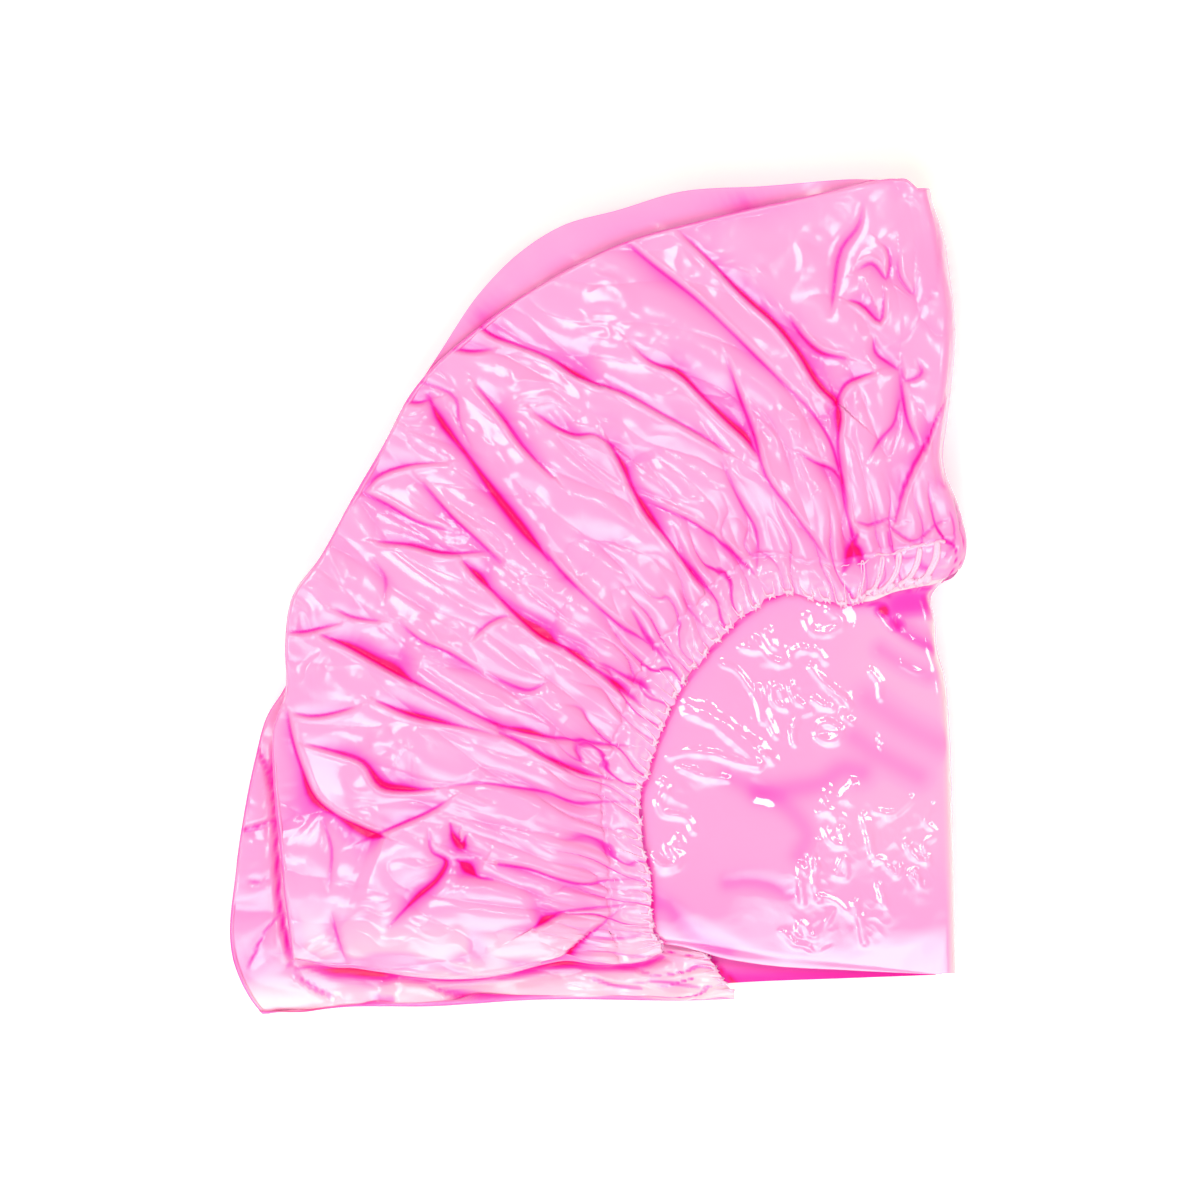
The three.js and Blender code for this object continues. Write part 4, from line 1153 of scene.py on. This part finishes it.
def crown_creases(flat, rng):
    """The creases of the top crown that the photograph shows, and their shade: small cushions in
    crinkled places, ridges and valleys, each a Gaussian across its line, and facets, each a slope
    towards the key light in a window exp(-d^4) of the distance d in radii."""
    x, y = flat[..., 0], flat[..., 1]
    crinkles = -pillows(x / 4.2, y / 3.4, rng, 0.9) - 0.6 * pillows(x / 2.2, y / 2.6, rng, 0.9)
    relief = 0.12 * crinkles * place_field(flat, CRINKLED_PLACES, 4)
    shade = 0 * x
    for size, width, line in CROWN_RIDGES:
        ridge = drawn_fold(0, [(*point, abs(size)) for point in line])
        if size > 0:
            relief = relief + 1.6 * ridge_field(flat, ridge, width)
        else:
            valley = ridge_field(flat, ridge, 0.6 * width)
            relief, shade = relief - 0.25 * valley, shade + 0.45 * valley
    key = math.radians(SOFTBOXES[0][1])
    for spot_x, spot_y, long, short, degrees in CROWN_FACETS:
        turn = math.radians(degrees)
        off_x, off_y = np.moveaxis(flat - spot(spot_x, spot_y), -1, 0)
        along = (off_x * math.cos(turn) + off_y * math.sin(turn)) / long
        across = (off_y * math.cos(turn) - off_x * math.sin(turn)) / short
        window = np.exp(-(np.hypot(along, across) / PIXEL) ** 4)
        relief = relief - 0.19 * (off_x * math.cos(key) + off_y * math.sin(key)) * window
    return relief, shade


def crown_layer(quarter, settings):
    """A crown's film: level but for gentle waves, with its ends brought together at the folds. Its shade is
    painted: plain film's, a little lighter towards the right side and where it turns round the side fold,
    deeper near the front fold, with a painted shadow of the brim along the hem, and on the upper inner
    crown a painted shadow along the top brim's rim."""
    fine = quarter.name == "top"
    cols = columns(quarter, CROWN_COLUMNS[not fine], *CROWN_TURNS)
    angle = cols.angle[:, None]
    fold_radius = settings.fold_radius / MM
    outer = polar_edge(quarter.edge, fold_radius, cols.angle)[:, None]
    opening = polar_edge(quarter.opening, fold_radius, cols.angle)[:, None]
    share = np.linspace(0, 1, CROWN_ROWS[not quarter.outer])[None, :]
    radius = CROWN_START + (outer - CROWN_START) * (0.6 * share + 0.4 * share ** 5)
    height = CROWN_MIDDLE + 0 * radius
    side_reach = OUTER_CROWN_REACH if quarter.outer else INNER_CROWN_REACH
    plain, flat = bent_layer(quarter, "crown", cols, radius, height, side_reach, CROWN_FRONT_REACH)
    rng = seeded(quarter, "crown")
    x, y = flat[..., 0], flat[..., 1]
    relief = 0.55 * lattice_noise(x / 24, y / 18, rng) + 0.1 * lattice_noise(x / 8, y / 6, rng)
    broken = 0.75 + 0.5 * lattice_noise(np.degrees(angle) / 2.5, 0 * radius, rng)
    to_front = front_distance(quarter, radius, angle)
    # Painted light and shade: a little lighter towards the right side, a little darker near the front fold.
    deep = 0.15 - 0.03 * smoothstep(-32, -8, x) + 0.05 * smoothstep(26, 6, to_front)
    # Painted light: paler where the crown turns round the side fold.
    deep = deep * (1 - smoothstep(0, 0.5, cols.side))[:, None]
    deep = deep + 0.8 * broken * np.exp(-np.abs(opening - 0.25 - radius) / 0.45)
    # Painted shadow near the front fold, where the upper half's edge shades this crown.
    if quarter.name == "lower_inner":
        deep = deep + 0.6 * np.exp(-to_front / 4)
    if fine:
        creases, crease_shade = crown_creases(flat, rng)
        relief = relief + creases
        deep = np.maximum(deep, crown_shadows(x, y)) + crease_shade
    if quarter.name == "upper_inner":
        relief = relief + 0.25 * lattice_noise(x / 7, y / 4, rng)
        # Painted shadow along the top brim's rim, which stands over this crown.
        rim = polar_edge(TOP_EDGE, fold_radius, cols.angle)[:, None]
        deep = deep + 0.42 * np.exp(-np.abs(radius - rim) / 0.8)
    room = smoothstep(0, 7, radius * np.sin(angle) + 3) * smoothstep(0, 7, to_front + 1)
    relief = soft_limit(relief * room * (1 - smoothstep(-5, 0, radius - outer)), -0.9, 1.0)
    relief = relief * (1 - cols.side)[:, None]
    points = plain + grid_normals(plain, quarter) * relief[..., None]
    return Layer(quarter, cols, points, np.clip(deep, 0, 1))


def ridge_field(flat, ridge, width):
    """Height of a ridge at each point: its size times exp(-(d / width)^2) of the distance d."""
    height = np.zeros(flat.shape[:-1])
    near, distance, _, size = near_line(flat, ridge, 3 * width)
    height[near] = size * bell(distance, 0, width)
    return height


class FilmSettings(bpy.types.PropertyGroup):
    """Sizes and colours of the cap."""

    fold_radius: bpy.props.FloatProperty(
        name="Fold radius", description="From the fold corner to the outer edge",
        default=0.140, unit="LENGTH",
    )
    cut_radius: bpy.props.FloatProperty(
        name="Cut radius", description="Radius of the disc that the cap is cut from",
        default=0.205, unit="LENGTH",
    )
    hem_width: bpy.props.FloatProperty(
        name="Hem width", description="From the film's inner edge to where the pleats rise",
        default=0.0078, unit="LENGTH",
    )
    stitch_spacing: bpy.props.FloatProperty(
        name="Stitch spacing", description="Between two crossings of the looper thread",
        default=0.0028, unit="LENGTH",
    )
    # Paler film over the white elastic, and painted light: brims are also painted towards this colour near
    # the front fold.
    elastic_backed_and_lit_colour: bpy.props.StringProperty(
        name="Backed film", description="Colour over the white elastic", default="#FFD0F1",
    )
    film_pale: bpy.props.StringProperty(
        name="Pale film", description="Colour of one layer in the open", default="#FF9EE6",
    )
    # Painted shade: this and the next three colours are the ramp's darker stops for folds and closed
    # pockets, which stand in for light lost there.
    fold_start_shade_colour: bpy.props.StringProperty(
        name="Shaded film", description="Colour at the start of a fold", default="#FD6CD4",
    )
    fold_shade_colour: bpy.props.StringProperty(
        name="Folded film", description="Colour in a fold", default="#F63EC0",
    )
    fold_bottom_shade_colour: bpy.props.StringProperty(
        name="Deep film", description="Colour at the bottom of a deep fold", default="#E81CA6",
    )
    pocket_shade_colour: bpy.props.StringProperty(
        name="Pocket film", description="Colour in a closed pocket", default="#EA0E68",
    )
    elastic_colour: bpy.props.StringProperty(
        name="Elastic", description="Colour of the elastic", default="#E6D8EA",
    )
    thread_colour: bpy.props.StringProperty(
        name="Thread", description="Colour of the sewing thread", default="#F5C8EE",
    )


def cap_settings():
    """The film's settings on this scene."""
    return bpy.context.scene.shower_cap_film


def material_for(kind):
    """One of the cap's materials, made when first asked for."""
    makers = {"knitted_elastic": knitted_elastic, "spun_polyester_thread": spun_thread}
    return bpy.data.materials.get(kind) or makers.get(kind, vinyl_film)(kind, cap_settings())


def brim_folds(quarter, fold_radius):
    """The folds of a quarter's brim: read from the photograph on top, seeded on the others, with
    what shows of the lower half's inner brim read from the photograph too."""
    if quarter.name == "top":
        return [drawn_fold(side, points) for side, points in TOP_FOLDS], []
    seeded = pleat_folds(quarter, fold_radius) + seeded_folds(quarter, fold_radius, SEEDED_FOLDS)
    if quarter.name == "lower_inner":
        return [drawn_fold(side, points) for side, points in LOWER_FOLDS], seeded
    return seeded, []


def brim_layer(quarter, settings):
    """The gathered brim of a quarter."""
    flat = BRIM_COLUMNS[quarter.name != "top"]
    return make_brim(quarter, settings, columns(quarter, flat, *BRIM_TURNS))


def elastic_layer(quarter, settings):
    """The elastic of a quarter: a flat band with round edges under the hem, whose cross-section
    runs round the points of its grid. Its inner edge peeps out past the hem."""
    cols = columns(quarter, ELASTIC_COLUMNS, *ELASTIC_TURNS)
    angle = cols.angle[:, None]
    inner = polar_edge(quarter.opening, settings.fold_radius / MM, cols.angle)[:, None]
    inner = inner + HEM_DRAW_BACK * cols.side[:, None] ** 1.5
    noise = lattice_noise(np.degrees(angle) / 3.2, 0 * angle, seeded(quarter, "elastic"))
    peep = (TOP_PEEP if quarter.name == "top" else HIDDEN_PEEP) + 0.2 * noise
    peep = peep - 1.2 * smoothstep(70, 86, np.degrees(angle))
    turn = math.tau * (np.arange(ELASTIC_SIDES) + 0.5)[None, :] / ELASTIC_SIDES
    across = np.clip(1.6 * np.cos(turn), -1, 1) * (ELASTIC_WIDTH / 2 - ELASTIC_BEND)
    across = across + ELASTIC_BEND * np.cos(turn)
    up = np.clip(3 * np.sin(turn), -1, 1) * (ELASTIC / 2 - ELASTIC_BEND) + ELASTIC_BEND * np.sin(turn)
    radius = inner - peep + ELASTIC_WIDTH / 2 + across
    knit = 0.04 * np.sin(angle * 220 + 0.5 * across)
    height = ELASTIC_MIDDLE + up * (1 + knit)
    reach = (OUTER_CROWN_REACH if quarter.outer else INNER_BRIM_REACH) + LAYER_STEP
    points, _ = bent_layer(quarter, "brim", cols, radius, height, reach, FRONT_ELASTIC_REACH)
    return Layer(quarter, cols, points, 0 * radius)


LAYER_MAKERS = {"brim": brim_layer, "elastic": elastic_layer, "crown": crown_layer}
LAYERS = {}


def layer(kind, quarter_name):
    """A layer of a quarter. It is worked out once for the pieces and the threads that need it, and
    again when a size has changed."""
    settings = cap_settings()
    key = (kind, quarter_name, settings.fold_radius, settings.hem_width)
    if key not in LAYERS:
        quarter = next(found for found in quarters() if found.name == quarter_name)
        LAYERS[key] = LAYER_MAKERS[kind](quarter, settings)
    return LAYERS[key]


def dress(obj, quarter, node):
    """Lets a piece ride on its quarter's body in the place of its CAD node."""
    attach(obj, quarter.body)
    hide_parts(f"{node}_{quarter.name}")


def fold_strip(kind, upper, lower, steps=8):
    """The strip that carries a layer round the side fold: rows from the upper quarter's edge to the
    lower's, each point on the straight way between them pushed out by a parabola."""
    top, bottom = layer(kind, upper).points[0], layer(kind, lower).points[0]
    t = np.linspace(0, 1, steps + 1)[:, None, None]
    points = top + (bottom - top) * t
    points[..., 0] += STRIP_BULGE * 4 * t[..., 0] * (1 - t[..., 0])
    return points


def tube_mesh(path, radius, sides=7):
    """A round tube along a path, with closed ends: a circle across each point, turned as little as
    can be from the one before, with its own radius."""
    tangent = np.gradient(path, axis=0)
    tangent /= np.maximum(np.linalg.norm(tangent, axis=1, keepdims=True), 1e-9)
    side = np.zeros_like(path)
    guess = np.array([0.31, 0.53, 0.79])
    for i in range(len(path)):
        guess = guess - tangent[i] * (guess @ tangent[i])
        guess = guess / np.linalg.norm(guess)
        side[i] = guess
    other = np.cross(tangent, side)
    turn = np.linspace(0, math.tau, sides + 1)[:-1]
    ring = side[:, None] * np.cos(turn)[None, :, None] + other[:, None] * np.sin(turn)[None, :, None]
    points = (path[:, None] + radius[:, None, None] * ring).reshape(-1, 3)
    run = np.concatenate([[0], np.cumsum(np.linalg.norm(np.diff(path, axis=0), axis=1))])
    uv = np.stack([np.repeat(run, sides), np.tile(turn / math.tau, len(path))], axis=1)
    return points, list(tube_faces(len(path), sides)), uv


def hem_points(brim, angle, share, lift, settings):
    """Places on a brim's hem at an angle and a share of the way from its inner edge to where the
    pleats rise, lifted off the film along its normal. A share below 0 lies past the inner edge."""
    hem_rows = (OUTER_ROWS if brim.quarter.outer else INNER_ROWS)[0]
    flat = brim.cols.angle
    inside = (brim.cols.side == 0) & (brim.cols.front == 0)
    start = np.argmax(inside)
    count = inside.sum()
    col = start + np.clip(angle / flat[start + count - 1], 0, 1) * (count - 1)
    row = np.clip(share, 0, 1.2) * hem_rows
    normals = grid_normals(brim.points, brim.quarter)

    def sampled(grid):
        """A grid's values between its four nearest points, each by its share."""
        i, j = np.floor(col).astype(int), np.floor(row).astype(int)
        i, j = np.clip(i, 0, grid.shape[0] - 2), np.clip(j, 0, grid.shape[1] - 2)
        a, b = (col - i)[:, None], (row - j)[:, None]
        low = grid[i, j] * (1 - a) + grid[i + 1, j] * a
        high = grid[i, j + 1] * (1 - a) + grid[i + 1, j + 1] * a
        return low * (1 - b) + high * b

    place, normal = sampled(brim.points), sampled(normals)
    inward = np.stack([np.sin(angle), -np.cos(angle), 0 * angle], axis=1)
    past = np.clip(-share, 0, None) * settings.hem_width / MM
    blend = np.clip(past / 0.3, 0, 1)[:, None]
    upright = np.array([0, 0, brim.quarter.upward])
    normal = normal * (1 - blend) + upright * blend
    return place + inward * past[:, None] + normal * lift[:, None]


def thread_bulk(angle):
    """Radius of a thread: it lies loose and wide at the side fold, and is drawn tight elsewhere."""
    return THREAD_RADIUS + 0.3 * bell(np.degrees(angle), 0, 9)


def stitch_count(quarter, settings):
    """The number of stitches along a quarter's hem."""
    inner = edge_at(quarter.opening, settings.fold_radius / MM, quarter.fold_angle / 2)
    return int(quarter.fold_angle * inner / (settings.stitch_spacing / MM))


def looper_path(brim, settings):
    """The looper thread's way along the hem: across the film to the needle line, along it, back to
    the edge and round it under the elastic, with every stitch's length and lean a little off. Each
    row is an angle, a share of the hem's width and how far the thread stands off the film."""
    quarter = brim.quarter
    rng = seeded(quarter, "looper")
    count = stitch_count(quarter, settings)
    pitch = quarter.fold_angle / count
    wrap = (-0.4 / (settings.hem_width / MM), -0.95)
    under = (0.03, -1.75)
    rows = []
    for k in range(count):
        spread = 0.14 + 0.2 * smoothstep(0.12, 0.3, (k + 0.5) * pitch)
        start = (k + 0.48 - spread + rng.uniform(-0.05, 0.05)) * pitch
        knot = (k + 0.5 + rng.uniform(-0.6, 0.6) * spread) * pitch
        back = (k + 0.48 + spread + rng.uniform(-0.05, 0.05)) * pitch
        top = NEEDLE_SHARE + rng.uniform(-0.12, 0.04)
        tight = smoothstep(0.08, 0.25, start)
        bury = 0.1 - 0.24 * tight
        sunk = rng.uniform(-0.65, 0.05, 2) * tight + 0.06
        rows += [
            (start, *wrap), (start - 0.06 * pitch, 0.01, 0.2), (start - 0.2 * pitch, 0.07, 0.3),
            (start + 0.1 * pitch, 0.08, 0.34), ((start + knot) / 2, 0.45, sunk[0]),
            (knot - 0.07 * pitch, top, bury), (knot + 0.07 * pitch, top, bury),
            ((knot + back) / 2, 0.45, sunk[1]), (back - 0.05 * pitch, 0.08, 0.34),
            (back + 0.16 * pitch, 0.05, 0.3), (back + 0.05 * pitch, 0.0, 0.2),
            (back, *wrap), (back + 0.1 * pitch, *under), (back + 0.2 * pitch, *under),
        ]
    rows = np.array(rows)
    rows[:, 0] = np.clip(rows[:, 0], 0.004, quarter.fold_angle - 0.004)
    t = np.arange(len(rows))
    at = np.linspace(0, len(rows) - 1, (len(rows) - 1) * 5 + 1)
    angle, share, lift = (along_table(list(zip(t, rows[:, i])), at) for i in range(3))
    bulk = thread_bulk(angle) + 0.16 * bell(share, 0, 0.13) * smoothstep(-0.4, 0.1, lift)
    lift = lift + np.where(lift > 0, thread_bulk(angle) - 0.1, 0)
    return hem_points(brim, angle, share, lift, settings), bulk


def needle_path(brim, settings):
    """The needle thread's way: a running line along the hem that dips into the film at each stitch
    by a squared sine."""
    quarter = brim.quarter
    count = stitch_count(quarter, settings)
    angle = np.linspace(0.003, quarter.fold_angle - 0.003, count * 14)
    dip = np.sin(np.pi * angle / quarter.fold_angle * count) ** 2
    share = NEEDLE_SHARE + 0.015 * np.sin(angle * 90)
    lift = 0.03 - 0.25 * (1 - dip) ** 2 - 0.1 * smoothstep(0.1, 0.3, angle)
    return hem_points(brim, angle, share, lift, settings), thread_bulk(angle)


def film_sectors(name, found, kind, count):
    """A layer's film in sectors that meet edge to edge, none of them too heavy. Their normals are
    those of the whole grid, so that light runs over the joins unbroken."""
    normals = grid_normals(found.points, found.quarter)
    ends = np.linspace(0, len(found.points) - 1, count + 1).astype(int)
    parts = [slice(first, last + 1) for first, last in zip(ends[:-1], ends[1:])]
    return [
        film_object(f"{name}_{number}", found.points[part], found.deep[part], kind,
                    found.quarter.upward, normals[part])
        for number, part in enumerate(parts, 1)
    ]


class CAP_OT_brims(bpy.types.Operator):
    """Makes the gathered brim of each quarter, the top one in three sectors"""

    bl_idname = "shower_cap.brims"
    bl_label = "Gathered Brims"

    def execute(self, context):
        for quarter in quarters():
            found = layer("brim", quarter.name)
            count = 3 if quarter.name == "top" else 1
            for obj in film_sectors(f"brim_{quarter.name}", found, "satin_vinyl_film", count):
                dress(obj, quarter, "brim_film")
        return {"FINISHED"}


class CAP_OT_crowns(bpy.types.Operator):
    """Makes the crown of each quarter"""

    bl_idname = "shower_cap.crowns"
    bl_label = "Crowns"

    def execute(self, context):
        for quarter in quarters():
            kind = "gloss_vinyl_film" if quarter.outer else "satin_vinyl_film"
            found = layer("crown", quarter.name)
            name = f"crown_{quarter.name}"
            obj = film_object(name, found.points, found.deep, kind, -quarter.upward)
            dress(obj, quarter, "crown_film")
        return {"FINISHED"}


class CAP_OT_elastic(bpy.types.Operator):
    """Makes the elastic of each quarter"""

    bl_idname = "shower_cap.elastic"
    bl_label = "Elastic"

    def execute(self, context):
        for quarter in quarters():
            found = layer("elastic", quarter.name)
            rings, sides = found.points.shape[:2]
            faces = [group[:, ::quarter.upward] for group in tube_faces(rings, sides)]
            along_band = np.repeat(np.arange(rings) / rings, sides)
            uv = np.stack([along_band, np.tile(np.arange(sides) / sides, rings)], axis=1)
            obj = mesh_object(f"elastic_{quarter.name}", to_row(found.points).reshape(-1, 3), faces,
                              material_for("knitted_elastic"), uv=uv)
            dress(obj, quarter, "elastic_band")
        return {"FINISHED"}


class CAP_OT_threads(bpy.types.Operator):
    """Makes the overlock seam's two threads on each quarter"""

    bl_idname = "shower_cap.threads"
    bl_label = "Overlock Threads"

    def execute(self, context):
        settings = cap_settings()
        for quarter in quarters():
            brim = layer("brim", quarter.name)
            for node, (path, size) in (
                ("looper_thread", looper_path(brim, settings)),
                ("needle_thread", needle_path(brim, settings)),
            ):
                points, faces, uv = tube_mesh(path, size)
                obj = mesh_object(f"{node[:6]}_{quarter.name}", to_row(points), faces,
                                  material_for("spun_polyester_thread"), uv=uv)
                dress(obj, quarter, node)
        return {"FINISHED"}


class CAP_OT_side_fold(bpy.types.Operator):
    """Carries the film and the elastic round the side fold, from the upper half to the lower"""

    bl_idname = "shower_cap.side_fold"
    bl_label = "Side Fold"

    def execute(self, context):
        materials = {
            "brim": "satin_vinyl_film", "crown": "gloss_vinyl_film", "elastic": "knitted_elastic",
        }
        for place, upper, lower in (("outer", "top", "bottom"), ("inner", "upper_inner", "lower_inner")):
            for kind, material in materials.items():
                points = fold_strip(kind, upper, lower)
                if kind == "elastic":
                    points = np.concatenate([points, points[:, :1]], axis=1)
                faces = grid_faces(*points.shape[:2])
                # Painted shade: the strips are painted a little darker than plain film.
                shade = {"painted_shade": np.full(points.shape[:2], PLAIN_SHADE + 0.1)}
                obj = mesh_object(f"fold_{kind}_{place}", to_row(points).reshape(-1, 3), faces,
                                  material_for(material), shade)
                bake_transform(obj)
        return {"FINISHED"}


def add_softbox(scene, name, azimuth, lean, wide, tall, radiance, steps):
    """A rectangular light facing the cap, at an azimuth and a lean off the vertical in degrees. A
    flat light of radiance L and area A gives off the power pi A L. In more than one step it is a
    stack of smaller and smaller lights, which share its radiance."""
    turn, off = math.radians(azimuth), math.radians(lean)
    heading = Vector((math.sin(off) * math.cos(turn), math.sin(off) * math.sin(turn), math.cos(off)))
    for step in range(steps):
        share = 1 - 0.8 * step / steps
        data = bpy.data.lights.new(f"{name}_{step}", "AREA")
        data.shape = "RECTANGLE"
        data.size = wide * share
        data.size_y = tall * share
        data.color = hexed(LIGHT_COLOUR)[:3]
        data.energy = math.pi * data.size * data.size_y * radiance / steps
        light = bpy.data.objects.new(data.name, data)
        light.location = heading * (LIGHT_DISTANCE - 0.002 * step)
        light.rotation_euler = heading.to_track_quat("Z", "Y").to_euler()
        scene.collection.objects.link(light)


class CAP_OT_stage(bpy.types.Operator):
    """Makes the floor, the soft studio light and the camera straight above the cap"""

    bl_idname = "shower_cap.stage"
    bl_label = "Floor, Light and Camera"

    def execute(self, context):
        scene = context.scene
        scene.view_settings.view_transform = "Standard"
        material, tree = new_material("white_paper_sweep")
        shade_with(tree, {
            "Base Color": hexed("#FBFBFB"), "Roughness": 0.9,
            "Emission Color": (1, 1, 1, 1), "Emission Strength": 0.3,
        })
        corners = FLOOR_REACH * np.array([[-1, -1, 0], [1, -1, 0], [1, 1, 0], [-1, 1, 0]])
        floor = mesh_object("floor", corners, np.array([[0, 1, 2, 3]]), material)

        world = bpy.data.worlds.new("studio")
        scene.world = world
        world.use_nodes = True
        sky = world.node_tree.nodes["Background"].inputs
        sky["Color"].default_value = hexed(SKY_COLOUR)
        sky["Strength"].default_value = SKY_STRENGTH
        for softbox in SOFTBOXES:
            add_softbox(scene, *softbox)

        data = bpy.data.cameras.new("camera")
        data.sensor_width = SENSOR_WIDTH
        data.lens = SENSOR_WIDTH * CAMERA_DISTANCE / (PHOTO_SIZE * PIXEL * MM)
        data.clip_end = CAMERA_REACH
        camera = bpy.data.objects.new("camera", data)
        x, y = (spot(PHOTO_SIZE / 2, PHOTO_SIZE / 2) + (CORNER_X, CORNER_Y)) * MM
        camera.location = (x, y, CAMERA_DISTANCE + 2 * HALF_HEIGHT * MM)
        scene.collection.objects.link(camera)
        scene.camera = camera
        return {"FINISHED"}


class CAP_PT_panel(bpy.types.Panel):
    """Lists the steps that build the cap"""

    bl_idname = "CAP_PT_panel"
    bl_label = "Shower Cap"
    bl_space_type = "VIEW_3D"
    bl_region_type = "UI"
    bl_category = "Shower Cap"

    def draw(self, context):
        for operator in OPERATORS:
            self.layout.operator(operator.bl_idname)


OPERATORS = (
    CAP_OT_stage, CAP_OT_brims, CAP_OT_crowns, CAP_OT_elastic, CAP_OT_threads, CAP_OT_side_fold,
)
CLASSES = (FilmSettings, *OPERATORS, CAP_PT_panel)


def register():
    for cls in CLASSES:
        bpy.utils.register_class(cls)
    bpy.types.Scene.shower_cap_film = bpy.props.PointerProperty(type=FilmSettings)


def unregister():
    del bpy.types.Scene.shower_cap_film
    for cls in reversed(CLASSES):
        bpy.utils.unregister_class(cls)


def main():
    """Builds the cap step by step."""
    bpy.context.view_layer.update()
    register()
    bpy.ops.shower_cap.stage()
    bpy.ops.shower_cap.brims()
    bpy.ops.shower_cap.crowns()
    bpy.ops.shower_cap.elastic()
    bpy.ops.shower_cap.threads()
    bpy.ops.shower_cap.side_fold()


if __name__ == "__main__":
    main()
